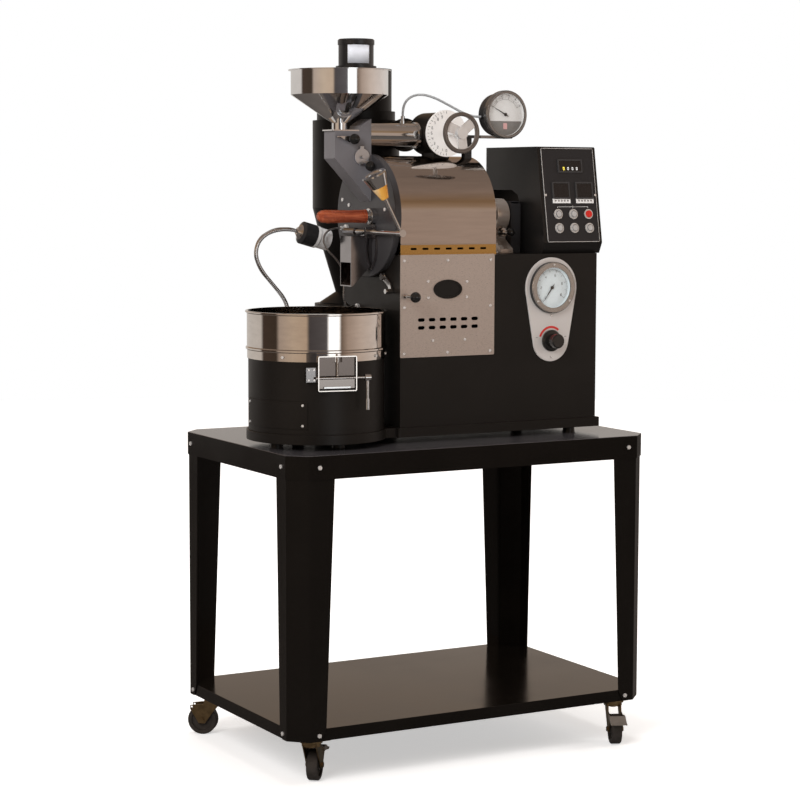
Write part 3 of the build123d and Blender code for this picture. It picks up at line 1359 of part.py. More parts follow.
# Chaff bucket under the cyclone's lid
bucket_top = lid_z - body_gap
with BuildPart() as chaff_bin:
    add(turned((cyclone_x, cyclone_y, 0), (0, 0, 1), [
        (0, table_z + body_gap), (bucket_radius, table_z + body_gap),
        (bucket_radius, bucket_top), (88, bucket_top), (88, bucket_top - wall),
        (bucket_radius - wall, bucket_top - wall),
        (bucket_radius - wall, table_z + body_gap + wall), (0, table_z + body_gap + wall),
    ]))
save(chaff_bin, "chaff_bin")

# Drop-shaped plate behind the gas gauge and the regulator
plate_thick = 4.0
plate_front = cabinet_front - plate_thick
case_radius = gauge_dial + 6
with BuildPart() as gauge_plate:
    extrude(belt(front(0, cabinet_front, 0), (gauge_x, gauge_z), 75, (gauge_x, knob_z), 52),
            amount=plate_thick)
    chamfer(gauge_plate.faces().sort_by(Axis.Y)[0].edges(), 1)
    add(disc(front(gauge_x, cabinet_front + 1, gauge_z), case_radius + body_gap,
             plate_thick + 2), mode=Mode.SUBTRACT)
    add(disc(front(gauge_x, cabinet_front + 1, knob_z), regulator_radius + body_gap,
             plate_thick + 2), mode=Mode.SUBTRACT)


def gauge_case(x, y_back, z, cup, flange_at, bezel, depth, dial, dial_at):
    # Case open to the front, its white dial with a pivot hole, and the glass
    with BuildPart() as case:
        add(turned((x, y_back, z), (0, -1, 0), [
            (0, 0), (cup, 0), (cup, flange_at), (bezel, flange_at), (bezel, depth - 3),
            (bezel - 3, depth), (dial + 1, depth), (dial + 1, dial_at), (0, dial_at),
        ]))
    with BuildPart() as face:
        add(disc(front(x, y_back - dial_at, z), dial + 1, 1, 1.5 + running_fit))
    with BuildPart() as glass:
        add(disc(front(x, y_back - depth + 3, z), dial + 1, 1.5))
    return [case.part, face.part, glass.part]


gas_back = plate_front + 51
gas_dial_at = 52.0
gas_case = gauge_case(gauge_x, gas_back, gauge_z, case_radius, 51, gauge_bezel, 63,
                      gauge_dial, gas_dial_at)
air_z = cabinet_top + air_gauge_rise
air_back = air_gauge_y + 50
air_case = gauge_case(air_gauge_x, air_back, air_z, air_gauge_cup, 36, air_gauge_radius, 50,
                      air_gauge_radius - 9, 40)
port_z = air_z - 6
tube_end_x = air_gauge_x - air_gauge_cup - 6
tube_end_y = air_back - 20
post_x, post_y = 97.0, -85.0
shelf_air_z = air_z - air_gauge_cup
with BuildPart() as air_bracket:
    add(disc(side(tube_end_x, tube_end_y, port_z), 4, 8))
    add(block(post_x - 10, post_x + 10, post_y - 8, post_y + 8,
              drum_z + jacket_radius - 20, shelf_air_z - 5))
    add(block(post_x - 12, air_gauge_x + 24, post_y - 12, post_y + 14,
              shelf_air_z - 6, shelf_air_z + 1))
    add(disc(side(post_x - 30, drum_y, drum_z), jacket_radius, 60), mode=Mode.SUBTRACT)
    add(disc(front(air_gauge_x, air_back + 1, air_z), air_gauge_cup, 60), mode=Mode.SUBTRACT)
save_group([*gas_case, *air_case, air_bracket.part, gauge_plate.part], "gauge_cases")


def needle(x, z, y_dial, length, angle):
    # The angle is measured from straight up, clockwise as seen from the front
    a = math.radians(angle)
    tip = (math.sin(a), math.cos(a))
    with BuildPart() as pointer:
        add(disc(front(x, y_dial - 0.1, z), 1.5, 4))
        add(disc(front(x, y_dial - 1 - body_gap, z), 4, 3))
        with BuildSketch(front(x, y_dial - 2 - body_gap, z)):
            with BuildLine():
                Polyline(
                    (tip[0] * length, tip[1] * length), (tip[1] * 1.6, -tip[0] * 1.6),
                    (-tip[0] * 12, -tip[1] * 12), (-tip[1] * 1.6, tip[0] * 1.6), close=True,
                )
            make_face()
        extrude(amount=1)
    return pointer


save(needle(gauge_x, gauge_z, gas_back - gas_dial_at, gauge_dial - 9, 216), "pressure_needle")
save(needle(air_gauge_x, air_z, air_back - 40, air_gauge_radius - 18, -62), "air_needle")

# Regulator knob
with BuildPart() as regulator_knob:
    add(turned((gauge_x, plate_front - body_gap, knob_z), (0, -1, 0), [
        (0, 0), (27, 0), (27, 5), (24, 8), (18, 9), (18, 33), (15, 36), (0, 36),
    ]))
    with BuildSketch(front(gauge_x, plate_front - 12, knob_z)):
        with PolarLocations(19, 18):
            Circle(1.8)
    extrude(amount=30, mode=Mode.SUBTRACT)
    add(disc(front(gauge_x, plate_front + 14, knob_z), 6, 16))
save(regulator_knob, "regulator_knob")

# Control box: folded shell with a slanted front, standing on the cabinet
box_top = cabinet_top + box_rise
front_low = (cabinet_front - panel_sheet, cabinet_top + 27)
front_high = (cabinet_front + 37, box_top - 3)
arch_y, arch_z, arch_radius = -84.0, box_top - 108, 40.0
box_profile = [
    front_low, front_high, (front_high[0] + 3, box_top), (box_back, box_top),
    (box_back, arch_z), (arch_y + arch_radius, arch_z), (arch_y + 12, arch_z - 12),
    (arch_y, arch_z - arch_radius), (arch_y, cabinet_top), (cabinet_front + 11, cabinet_top),
]
slope = Vector(0, front_high[0] - front_low[0], front_high[1] - front_low[1])
slope = slope.normalized()
panel_out = Vector(1, 0, 0).cross(slope) * -1
if panel_out.Y > 0:
    panel_out = panel_out * -1
panel_mid = (box_left + box_right) / 2
panel_origin = Vector(panel_mid, *front_high)


def on_panel(u, w, out):
    # u from the panel's left edge, w down from its top edge, out from the box
    shift = panel_origin + Vector(1, 0, 0) * (u - control_width / 2) - slope * (w + 1)
    return Plane(origin=shift + panel_out * out, x_dir=(1, 0, 0), z_dir=panel_out)


panel_centre = (control_width / 2, control_height / 2)
timer_centre = (82.5, 45.0)
controller_centres = [(50.0, 106.5), (119.5, 106.5)]
button_rows = (control_height - 70.0, control_height - 35.0)
button_centres = [(u, w) for w in button_rows for u in (36.7, 81.8, 127.0)]
barrel_radius = bezel_radius - 1.6
with BuildPart() as box_shell:
    add(slab(side(box_left, 0, 0), box_profile, box_right - box_left))
    with BuildSketch(side(box_left + sheet, 0, 0)):
        with BuildLine():
            Polyline(*box_profile, close=True)
        make_face()
        offset(amount=-sheet, kind=Kind.INTERSECTION)
        with Locations(((cabinet_front + 11 + arch_y) / 2, cabinet_top + 2)):
            Rectangle(arch_y - cabinet_front - 20, 10)
    extrude(amount=box_right - box_left - 2 * sheet, mode=Mode.SUBTRACT)
    with BuildSketch(on_panel(*panel_centre, -8)):
        Rectangle(control_width - 16, control_height - 16)
    extrude(amount=20, mode=Mode.SUBTRACT)
    add(block(box_left, box_right, box_back - sheet, box_back, cabinet_top, arch_z + 1))
with BuildPart() as control_panel:
    with BuildSketch(on_panel(*panel_centre, 0)):
        RectangleRounded(control_width, control_height, 4)
    extrude(amount=2)
    with BuildSketch(on_panel(*timer_centre, -1)):
        Rectangle(timer_size[0] - 5, timer_size[1] - 5)
    extrude(amount=4, mode=Mode.SUBTRACT)
    for centre in controller_centres:
        with BuildSketch(on_panel(*centre, -1)):
            Rectangle(controller_size[0] - 5, controller_size[1] - 5)
        extrude(amount=4, mode=Mode.SUBTRACT)
    for centre in button_centres:
        with BuildSketch(on_panel(*centre, -1)):
            Circle(barrel_radius)
        extrude(amount=4, mode=Mode.SUBTRACT)
with BuildPart() as panel_trim:
    with BuildSketch(on_panel(*panel_centre, 2)):
        RectangleRounded(control_width, control_height, 4)
        RectangleRounded(control_width - 4, control_height - 4, 3, mode=Mode.SUBTRACT)
    extrude(amount=1)
instruments = []
for centre, size, depth in [(timer_centre, timer_size, 60)] + [
        (centre, controller_size, 75) for centre in controller_centres]:
    with BuildPart() as instrument:
        with BuildSketch(on_panel(*centre, 2)):
            RectangleRounded(*size, 2)
        extrude(amount=3)
        with BuildSketch(on_panel(*centre, 2)):
            Rectangle(size[0] - 5, size[1] - 5)
        extrude(amount=-depth)
        with BuildSketch(on_panel(*centre, 4)):
            Rectangle(size[0] - 8, size[1] - 8)
        extrude(amount=2, mode=Mode.SUBTRACT)
    instruments.append(instrument.part)
bezels = []
for centre in button_centres:
    with BuildPart() as bezel:
        with BuildSketch(on_panel(*centre, 2)):
            Circle(bezel_radius)
        extrude(amount=2.5)
        with BuildSketch(on_panel(*centre, 2)):
            Circle(barrel_radius)
        extrude(amount=-22)
        with BuildSketch(on_panel(*centre, -8)):
            Circle(button_radius + running_fit)
        extrude(amount=14, mode=Mode.SUBTRACT)
    bezels.append(bezel.part)
save_group([box_shell.part, control_panel.part, panel_trim.part, *instruments, *bezels],
           "control_box")
for number, centre in enumerate(button_centres, start=1):
    with BuildPart() as button:
        with BuildSketch(on_panel(*centre, -8 + button_travel + body_gap)):
            Circle(button_radius)
        extrude(amount=15 - button_travel)
        fillet(button.edges().filter_by(GeomType.CIRCLE).sort_by(Axis.Y)[0], 1.2)
    save(button, f"button_{number}")

# Lamp: clamp on the bin's ring, gooseneck and head
lamp_y = 78.0
neck_points = [
    (-317, ring_top - 30), (-317, ring_top), (-330, ring_top + 24), (-358, ring_top + 55),
    (-392, ring_top + 92), (-407, ring_top + 131), (-394, ring_top + 168),
    (-353, ring_top + 190), (-310, ring_top + 190), (-292, ring_top + 185),
]


def bend_radii(points):
    radii = []
    for before, here, after in zip(points, points[1:], points[2:]):
        first, second = Vector(*here) - Vector(*before), Vector(*after) - Vector(*here)
        half_turn = math.radians(first.get_angle(second)) / 2
        radii.append(0.45 * min(first.length, second.length) / math.tan(half_turn))
    return radii


def tube_along(points, diameter):
    radii = bend_radii(points)
    with BuildPart() as tube:
        with BuildLine() as path:
            FilletPolyline(*points, radius=radii)
        start = Vector(*points[1]) - Vector(*points[0])
        with BuildSketch(Plane(origin=points[0], z_dir=start)):
            Circle(diameter / 2)
        sweep()
    expected = sum(edge.length for edge in path.edges()) * math.pi * diameter**2 / 4
    return tube, radii, tube.part.volume / expected


neck_path = [(x, lamp_y, z) for x, z in neck_points]
gooseneck, neck_radii, neck_ratio = tube_along(neck_path, gooseneck_diameter)
head_dir = (Vector(*neck_path[-1]) - Vector(*neck_path[-2])).normalized()
with BuildPart() as lamp_clamp:
    add(block(neck_points[0][0] - 11, neck_points[0][0] + 11, bin_y + ring_radius - 6,
              lamp_y + 8, ring_top - 54, ring_top - 30))
    add(disc(level(bin_x, bin_y, ring_top - 60), ring_radius, 40), mode=Mode.SUBTRACT)
with BuildPart() as lamp_head:
    add(turned(neck_path[-1], (head_dir.X, 0, head_dir.Z), [
        (0, 0), (9, 0), (14, 6), (28, 14), (28, 56), (26, 58), (26, 88), (23, 88),
        (23, 80), (0, 80),
    ]))
save_group([lamp_clamp.part, gooseneck.part, lamp_head.part], "lamp")

# Sensing tube from the exhaust pipe to the air gauge, and the braided probe lead
tube_route = [
    (nipple_x, chute_y, tube_start_z), (nipple_x, chute_y, tube_start_z + 18),
    (-57, -52, tube_start_z + 38), (-38, -55, tube_start_z + 51),
    (-12, -59, tube_start_z + 54), (20, -65, tube_start_z + 45),
    (55, -71, tube_start_z + 28), (88, -77, tube_start_z + 11),
    (118, tube_end_y, port_z), (tube_end_x, tube_end_y, port_z),
]
sensing_tube, tube_radii, tube_ratio = tube_along(tube_route, tube_diameter)
save(sensing_tube, "sensing_tube")
probe_y, probe_z = 46.0, drum_z - 32
grommet_y, grommet_z = 16.0, ring_top - 1
cable_route = [
    (plate_left - 18, probe_y, probe_z), (plate_left - 42, probe_y, probe_z),
    (-232, 43, probe_z - 12), (-240, 38, probe_z - 33), (-231, 31, probe_z - 54),
    (-212, 24, probe_z - 73), (-197, 18, probe_z - 97), (-191, 15, probe_z - 123),
    (-194, 14, probe_z - 149), (-194, 15, probe_z - 175), (-182, grommet_y, grommet_z),
    (cabinet_left - 6, grommet_y, grommet_z),
]
probe_cable, cable_radii, cable_ratio = tube_along(cable_route, cable_diameter)
save(probe_cable, "probe_cable")
for name, radii, ratio in (("gooseneck", neck_radii, neck_ratio),
                           ("sensing_tube", tube_radii, tube_ratio),
                           ("probe_cable", cable_radii, cable_ratio)):
    print(name, "radii", [round(radius, 1) for radius in radii], "volume ratio", round(ratio, 4))

# Screws, bolts, the probe with its gland and the cable grommet
with BuildPart() as fasteners:
    def head(plane, radius, height):
        return disc(plane, radius, height)

    for sx in (-1, 1):
        for sy in (-1, 1):
            edge_x, edge_y = sx * stand_length / 2, sy * stand_depth / 2
            for z, inset in ((table_z - 28, 0.0), (caster_height + 14, leg_inset)):
                screw_x = sx * (stand_length / 2 - corner_cut - 26)
                screw_y = sy * (stand_depth / 2 - corner_cut - 20)
                plane_y = Plane(origin=(screw_x, edge_y - sy * inset, z), x_dir=(1, 0, 0),
                                z_dir=(0, sy, 0))
                plane_x = Plane(origin=(edge_x - sx * inset, screw_y, z), x_dir=(0, 1, 0),
                                z_dir=(sx, 0, 0))
                add(head(plane_y, 5, 3))
                add(head(plane_x, 5, 3))
    panel_face = cabinet_front - panel_sheet
    for x, z in [(-143, 1223), (-22, 1223), (99, 1223), (-143, 1111), (99, 1111),
                 (-143, 1000), (-22, 1000), (99, 1000), (-77, 1173), (32, 1171),
                 (-76, 1133), (32, 1133), (-63, 1030), (27, 1030)]:
        add(head(front(x, panel_face, z - 1235 + cabinet_top), 3.5, 2))
    for y, z in [(68, 1367), (34, 1354), (-120, 1390), (-150, 1345), (20, 1400)]:
        plane = Plane(origin=(plate_left, y, z - 1329 + drum_z), x_dir=(0, -1, 0),
                      z_dir=(-1, 0, 0))
        add(head(plane, 4.5, 3))
    for y in (drum_y - pedestal_foot + 10, drum_y + pedestal_foot - 10):
        add(head(level(pedestal_left - 7, y, cabinet_top), 5, 4))
    for angle in (90, 215, 325):
        a = math.radians(angle)
        add(head(front(gauge_x + (gauge_bezel - 7) * math.cos(a), plate_front - 12,
                       gauge_z + (gauge_bezel - 7) * math.sin(a)), 2.5, 1.5))
    for z in (knob_z - 41, gauge_z - 70.5):
        add(head(front(gauge_x, plate_front, z), 3, 1.5))
    for u in (3.5, control_width - 3.5):
        add(head(on_panel(u, control_height / 2, 3), 3, 1.5))
    for turn_deg in (hatch_turn - hatch_span + 4, hatch_turn + hatch_span - 4):
        for rise in (22, 70):
            add(head(around_bin(turn_deg, bin_radius + 2.53, base_top + rise), 3, 2.5))
    for turn_deg in (-55, -10 + 41, 60):
        screw_z = (bin_body_top + band_top) / 2
        add(head(around_bin(turn_deg, bin_radius + 2.55, screw_z), 3.5, 3))
    for dx in (-20, -7):
        for dz in (-4, 20):
            add(head(Plane(origin=rod_centre + along * (dx - exit_width / 2)
                           - Vector(out_x, out_y, 0) * 7 + Vector(0, 0, dz),
                           x_dir=along, z_dir=(out_x, out_y, 0)), 2.5, 2))
    probe_plane = Plane(origin=(plate_left, probe_y, probe_z), x_dir=(0, -1, 0),
                        z_dir=(-1, 0, 0))
    add(disc(probe_plane, 9, 6))
    add(disc(probe_plane, 5, 18))
    add(disc(Plane(origin=(cabinet_left, grommet_y, grommet_z), x_dir=(0, -1, 0),
                   z_dir=(-1, 0, 0)), 7, 6))
save(fasteners, "fasteners")
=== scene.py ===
import math
from functools import reduce

import bmesh
import bpy
from mathutils import Matrix, Vector


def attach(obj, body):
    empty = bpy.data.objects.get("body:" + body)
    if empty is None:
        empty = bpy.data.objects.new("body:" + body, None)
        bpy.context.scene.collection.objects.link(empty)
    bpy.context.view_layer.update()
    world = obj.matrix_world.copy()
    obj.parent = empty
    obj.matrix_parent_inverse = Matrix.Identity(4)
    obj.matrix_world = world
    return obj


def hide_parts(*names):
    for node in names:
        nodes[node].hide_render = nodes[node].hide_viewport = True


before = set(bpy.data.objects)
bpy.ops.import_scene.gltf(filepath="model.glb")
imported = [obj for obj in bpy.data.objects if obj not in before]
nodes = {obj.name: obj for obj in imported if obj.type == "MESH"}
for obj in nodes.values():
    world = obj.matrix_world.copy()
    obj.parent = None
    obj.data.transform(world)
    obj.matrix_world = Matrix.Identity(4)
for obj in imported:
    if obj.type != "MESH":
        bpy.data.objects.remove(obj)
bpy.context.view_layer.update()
scene = bpy.context.scene
MM = 0.001

# Axes of the round parts that face the front, in millimetres
GAS_GAUGE = (276, 0, 1151)
AIR_GAUGE = (199, 0, 1579)
DAMPER = (25, 0, 1530)
ACROSS_Y = (1, 0, 1)

# The bin's exit gate: across it, out of it and up
BIN_CENTRE = (-328, -98, 0)
GATE_TURN = math.radians(10)
GATE_AXES = ((math.cos(GATE_TURN), -math.sin(GATE_TURN), 0),
             (-math.sin(GATE_TURN), -math.cos(GATE_TURN), 0), (0, 0, 1))

# The discharge door's lever: along it and across it, from its shaft
SHAFT = (-180, -249, 1290)
LEVER_LEAN = math.radians(28)
UP_LEVER = (-math.sin(LEVER_LEAN), 0, math.cos(LEVER_LEAN))
ACROSS_LEVER = (math.cos(LEVER_LEAN), 0, math.sin(LEVER_LEAN))

# The lamp's head, from the neck's end towards the lens
NECK_END = Vector((-292, 78, 1290))
HEAD_WAY = Vector((18, 0, -5)).normalized()
HEAD_UP = Vector((5, 0, 18)).normalized()

# The control box's leaning panel, from its upper left corner
PANEL_LEAN = math.atan2(39, 235)
PANEL_UP = Vector((0, math.sin(PANEL_LEAN), math.cos(PANEL_LEAN)))
PANEL_OUT = Vector((0, -math.cos(PANEL_LEAN), math.sin(PANEL_LEAN)))
PANEL_CORNER = Vector((342 - 77.5, -160, 1497)) - PANEL_UP
PANEL_WIDTH, PANEL_HEIGHT = 155, 236
TIMER = (82.5, 45)
CONTROLLERS = ((50, 106.5), (119.5, 106.5))
BUTTON_COLUMNS = (36.7, 81.8, 127.0)
BUTTON_ROWS = (166.0, 201.0)
BUTTON_FACE = 7.3

CORNERS = ("fl", "fr", "bl", "br")
BLACK = (0.0080, 0.0068, 0.0060)
STAND_BLACK = (0.0050, 0.0040, 0.0032)
BALL_BLACK = (0.010, 0.010, 0.010)
STEEL = (0.80, 0.81, 0.82)
TAUPE = (0.56, 0.48, 0.43)
EVEN = (1.0, 1.0, 1.0)
WHITE = (1.0, 1.0, 1.0, 1.0)


# Camera at the photograph's viewpoint
AZIMUTH, TILT, ROLL = math.radians(29.2), math.radians(5.59), math.radians(0.18)
look = Vector((math.sin(AZIMUTH) * math.cos(TILT), math.cos(AZIMUTH) * math.cos(TILT),
               -math.sin(TILT)))
camera_data = bpy.data.cameras.new("camera")
camera_data.lens = 98.6
camera_data.sensor_fit = "HORIZONTAL"
camera_data.sensor_width = 36.0
camera = bpy.data.objects.new("camera", camera_data)
camera.location = (-2.7121, -4.7772, 1.4024)
camera.rotation_mode = "QUATERNION"
camera.rotation_quaternion = (look.to_track_quat("-Z", "Y")
                              @ Matrix.Rotation(ROLL, 3, "Z").to_quaternion())
scene.collection.objects.link(camera)
scene.camera = camera


class Graph:
    """Shader nodes and the links between them."""

    def __init__(self, tree):
        self.tree = tree

    def node(self, kind, **settings):
        made = self.tree.nodes.new("ShaderNode" + kind)
        for key, value in settings.items():
            setattr(made, key, value)
        return made

    def feed(self, socket, value):
        if isinstance(value, bpy.types.NodeSocket):
            self.tree.links.new(value, socket)
        else:
            socket.default_value = value

    def math(self, operation, a, b=0.0):
        made = self.node("Math", operation=operation)
        self.feed(made.inputs[0], a)
        self.feed(made.inputs[1], b)
        return made.outputs[0]

    def vector(self, operation, a, b=(0.0, 0.0, 0.0)):
        made = self.node("VectorMath", operation=operation)
        self.feed(made.inputs[0], a)
        self.feed(made.inputs[1], b)
        return made.outputs["Value" if operation in ("LENGTH", "DOT_PRODUCT") else "Vector"]

    def parts(self, value):
        made = self.node("SeparateXYZ")
        self.feed(made.inputs[0], value)
        return made.outputs

    def span(self, value, low, high, out_low=0.0, out_high=1.0):
        made = self.node("MapRange")
        for key, number in zip(("Value", "From Min", "From Max", "To Min", "To Max"),
                               (value, low, high, out_low, out_high)):
            self.feed(made.inputs[key], number)
        return made.outputs[0]

    def blend(self, factor, a, b):
        made = self.node("Mix", data_type="RGBA")
        for index, value in ((0, factor), (6, a), (7, b)):
            self.feed(made.inputs[index], value)
        return made.outputs[2]

    def lerp(self, factor, a, b):
        made = self.node("Mix", data_type="FLOAT")
        for index, value in ((0, factor), (2, a), (3, b)):
            self.feed(made.inputs[index], value)
        return made.outputs[0]

    def bands(self, value, stops):
        made = self.node("ValToRGB")
        elements = made.color_ramp.elements
        while len(elements) < len(stops):
            elements.new(0.5)
        for element, (position, colour) in zip(elements, stops):
            element.position = position
            element.color = (*colour, 1.0)
        self.feed(made.inputs["Fac"], value)
        return made.outputs["Color"]

    def rays(self):
        """Is 1 where a surface is seen directly or through a pane, and where it is mirrored."""
        paths = self.node("LightPath").outputs
        seen = self.math("MAXIMUM", paths["Is Camera Ray"], paths["Is Transmission Ray"])
        return seen, paths["Is Glossy Ray"]


class Recipe(Graph):
    """A material whose colour, roughness and metal are laid over each other by masks."""

    def __init__(self, name, colour, rough, metal=0.0):
        self.material = bpy.data.materials.new(name)
        self.material.use_nodes = True
        super().__init__(self.material.node_tree)
        self.bsdf = self.tree.nodes["Principled BSDF"]
        self.place = self.node("TexCoord").outputs["Object"]
        self.values = {"Base Color": (*colour, 1.0), "Roughness": rough, "Metallic": metal}
        self.normal = None

    def noise(self, scale, detail=4.0, stretch=EVEN, distortion=0.0):
        made = self.node("TexNoise")
        self.feed(made.inputs["Vector"], self.vector("MULTIPLY", self.place, stretch))
        self.feed(made.inputs["Scale"], scale)
        self.feed(made.inputs["Detail"], detail)
        self.feed(made.inputs["Distortion"], distortion)
        return made.outputs["Fac"]

    # Masks, in millimetres
    def inside(self, low, high):
        middle = [(a + b) / 2 * MM for a, b in zip(low, high)]
        reach = [2 / ((b - a) * MM) for a, b in zip(low, high)]
        off = self.vector("MULTIPLY", self.vector("SUBTRACT", self.place, middle), reach)
        x, y, z = self.parts(self.vector("ABSOLUTE", off))
        return self.math("LESS_THAN", self.math("MAXIMUM", x, self.math("MAXIMUM", y, z)), 1.0)

    def near(self, point, radius, across=(1, 1, 1)):
        off = self.vector("SUBTRACT", self.place, [c * MM for c in point])
        size = self.vector("LENGTH", self.vector("MULTIPLY", off, across))
        return self.math("LESS_THAN", size, radius * MM)

    def between(self, low, value, high):
        return self.both(self.math("LESS_THAN", low * MM, value),
                         self.math("LESS_THAN", value, high * MM))

    def both(self, a, b):
        return self.math("MULTIPLY", a, b)

    def either(self, a, b):
        return self.math("MAXIMUM", a, b)

    def without(self, a, b):
        return self.both(a, self.math("SUBTRACT", 1.0, b))

    def along(self, origin, axis):
        """How far a point lies from origin along the axis, in metres."""
        off = self.vector("SUBTRACT", self.place, [c * MM for c in origin])
        return self.vector("DOT_PRODUCT", off, axis)

    def measure(self, origin, axes):
        """Masks that follow are measured from origin along the axes."""
        join = self.node("CombineXYZ")
        for socket, axis in zip(join.inputs, axes):
            self.feed(socket, self.along(origin, axis))
        self.place = join.outputs[0]

    def over(self, mask, colour=None, rough=None, metal=None):
        if colour is not None:
            value = colour if isinstance(colour, bpy.types.NodeSocket) else (*colour, 1.0)
            self.values["Base Color"] = self.blend(mask, self.values["Base Color"], value)
        if rough is not None:
            self.values["Roughness"] = self.lerp(mask, self.values["Roughness"], rough)
        if metal is not None:
            self.values["Metallic"] = self.lerp(mask, self.values["Metallic"], metal)
        return self

    def vary(self, amount, scale, detail=4.0, stretch=EVEN):
        shade = self.span(self.noise(scale, detail, stretch), 0.3, 0.7, 1 - amount, 1 + amount)
        base = self.values["Base Color"]
        if not isinstance(base, bpy.types.NodeSocket):
            base = base[:3]
        self.values["Base Color"] = self.vector("MULTIPLY", base, shade)
        return self

    def smudge(self, amount, scale, detail=5.0, stretch=EVEN):
        grime = self.span(self.noise(scale, detail, stretch), 0.35, 0.75, 0.0, amount)
        self.values["Roughness"] = self.math("ADD", self.values["Roughness"], grime)
        return self

    def edges(self, radius):
        made = self.node("Bevel", samples=4)
        made.inputs["Radius"].default_value = radius * MM
        self.normal = made.outputs["Normal"]
        return self

    def bump(self, height, depth, strength):
        made = self.node("Bump")
        made.inputs["Strength"].default_value = strength
        made.inputs["Distance"].default_value = depth * MM
        self.feed(made.inputs["Height"], height)
        if self.normal is not None:
            self.feed(made.inputs["Normal"], self.normal)
        self.normal = made.outputs["Normal"]
        return self

    def done(self, **uniform):
        for key, value in self.values.items():
            self.feed(self.bsdf.inputs[key], value)
        if self.normal is not None:
            self.feed(self.bsdf.inputs["Normal"], self.normal)
        for key, value in uniform.items():
            self.bsdf.inputs[key.replace("_", " ")].default_value = value
        return self.material

    def clear(self, mask, tint):
        """Where the mask is 1 the surface is a thin clear pane."""
        pane = self.node("BsdfTransparent")
        pane.inputs["Color"].default_value = (*tint, 1.0)
        gloss = self.node("BsdfGlossy")
        gloss.inputs["Roughness"].default_value = 0.03
        surface = self.tree.nodes["Material Output"].inputs["Surface"]
        glass = self.mixed(0.05, pane.outputs[0], gloss.outputs[0])
        self.feed(surface, self.mixed(mask, self.bsdf.outputs[0], glass))

    def mixed(self, factor, a, b):
        made = self.node("MixShader")
        for socket, value in zip(made.inputs, (factor, a, b)):
            self.feed(socket, value)
        return made.outputs[0]


# Finishes
def powder(name, colour, rough=0.42, grain=1.0):
    made = Recipe(name, colour, rough).vary(0.12, 9.0).smudge(0.06, 14.0).edges(0.8)
    return made.bump(made.noise(700.0, 2.0), 0.06, 0.5 * grain)


def gloss_coat(name, colour, rough):
    made = Recipe(name, colour, rough).vary(0.14, 6.0).smudge(0.10, 5.0).edges(0.9)
    return made.bump(made.noise(260.0, 2.0), 0.05, 0.4)


def polished(name, colour, rough, lay=EVEN, metal=1.0):
    made = Recipe(name, colour, rough, metal).vary(0.05, 30.0, 3.0, lay).smudge(0.035, 8.0)
    made.edges(0.5)
    return made.bump(made.noise(420.0, 2.0, lay), 0.008, 0.3)


def brushed(name, colour, rough, lay=EVEN, metal=1.0):
    made = Recipe(name, colour, rough, metal).vary(0.10, 160.0, 3.0, lay)
    made.smudge(0.12, 140.0, 4.0, lay).edges(0.4)
    return made.bump(made.noise(500.0, 2.0, lay), 0.02, 0.4)


def plastic(name, colour, rough):
    made = Recipe(name, colour, rough).vary(0.1, 40.0).smudge(0.08, 60.0).edges(0.4)
    return made.bump(made.noise(900.0, 2.0), 0.02, 0.3)


def dress(material, *names):
    for name in names:
        piece = nodes[name]
        piece.data.materials.clear()
        piece.data.materials.append(material)


def at_depth(axis, y):
    return (axis[0], y, axis[2])


# Stand: semi-gloss black sheet, its level faces shinier, and the top's level face painted
# lighter as a painted highlight
SIDE_SHINE, LEVEL_SHINE = 0.25, 0.75
dress(gloss_coat("stand_black", STAND_BLACK, 0.12).done(Specular_IOR_Level=0.30), "stand_legs")
for name, height in (("stand_top", 782.0), ("stand_shelf", 139.0)):
    made = gloss_coat(name + "_black", STAND_BLACK, 0.12)
    level_face = made.inside((-510, -330, height), (510, 330, height + 2))
    made.values["Specular IOR Level"] = made.lerp(level_face, SIDE_SHINE, LEVEL_SHINE)
    # The top's level face is painted lighter: a painted highlight
    if name == "stand_top":
        made.over(level_face, (0.060, 0.056, 0.060), 0.16)
    dress(made.done(), name)

# Bodies: satin black powder coat, the face and the chute greyer
dress(powder("black_coat", BLACK, 0.36).done(Specular_IOR_Level=0.36),
      "base_plate", "cabinet", "chaff_bin", "cooling_bin")
dress(powder("cyclone_coat", (0.0050, 0.0045, 0.0042), 0.34).done(Specular_IOR_Level=0.16),
      "cyclone")
dress(powder("face_coat", (0.040, 0.039, 0.042), 0.32).done(), "face_plate")
dress(powder("chute_coat", (0.150, 0.146, 0.158), 0.34).done(), "feed_chute")

# Front panel: brushed stainless around an oval black window
WINDOW = (-22, 0, 1153)
WINDOW_HALVES = (39.8, 23.3)
panel = brushed("panel_steel", TAUPE, 0.27, (1.0, 1.0, 14.0), 0.62)
off_centre = panel.vector("SUBTRACT", panel.place, [c * MM for c in WINDOW])
oval = panel.vector("MULTIPLY", off_centre,
                    (1 / WINDOW_HALVES[0] / MM, 0.0, 1 / WINDOW_HALVES[1] / MM))
window = panel.math("LESS_THAN", panel.vector("LENGTH", oval), 1.0)
panel.over(window, (0.004, 0.004, 0.004), 0.3, 0.0)
dress(panel.done(), "front_panel")

# Drum housing: mirror steel, straw-coloured by heat along its slotted foot
jacket = polished("jacket_steel", (0.66, 0.60, 0.56), 0.075, (0.3, 3.0, 3.0))
strip = jacket.inside((-160, -205, 1236), (120, -190, 1260.5))
jacket.over(strip, (0.72, 0.45, 0.15), 0.2)
dress(jacket.done(), "drum_jacket")

# Bearing pedestal in polished steel beside the black chain cover
bearing = powder("bearing_coat", (0.030, 0.030, 0.033))
pedestal = bearing.inside((180, -250, 1230), (221.5, 250, 1400))
bearing.over(pedestal, (0.72, 0.64, 0.58), 0.16, 0.45)
dress(bearing.done(), "drum_bearing")

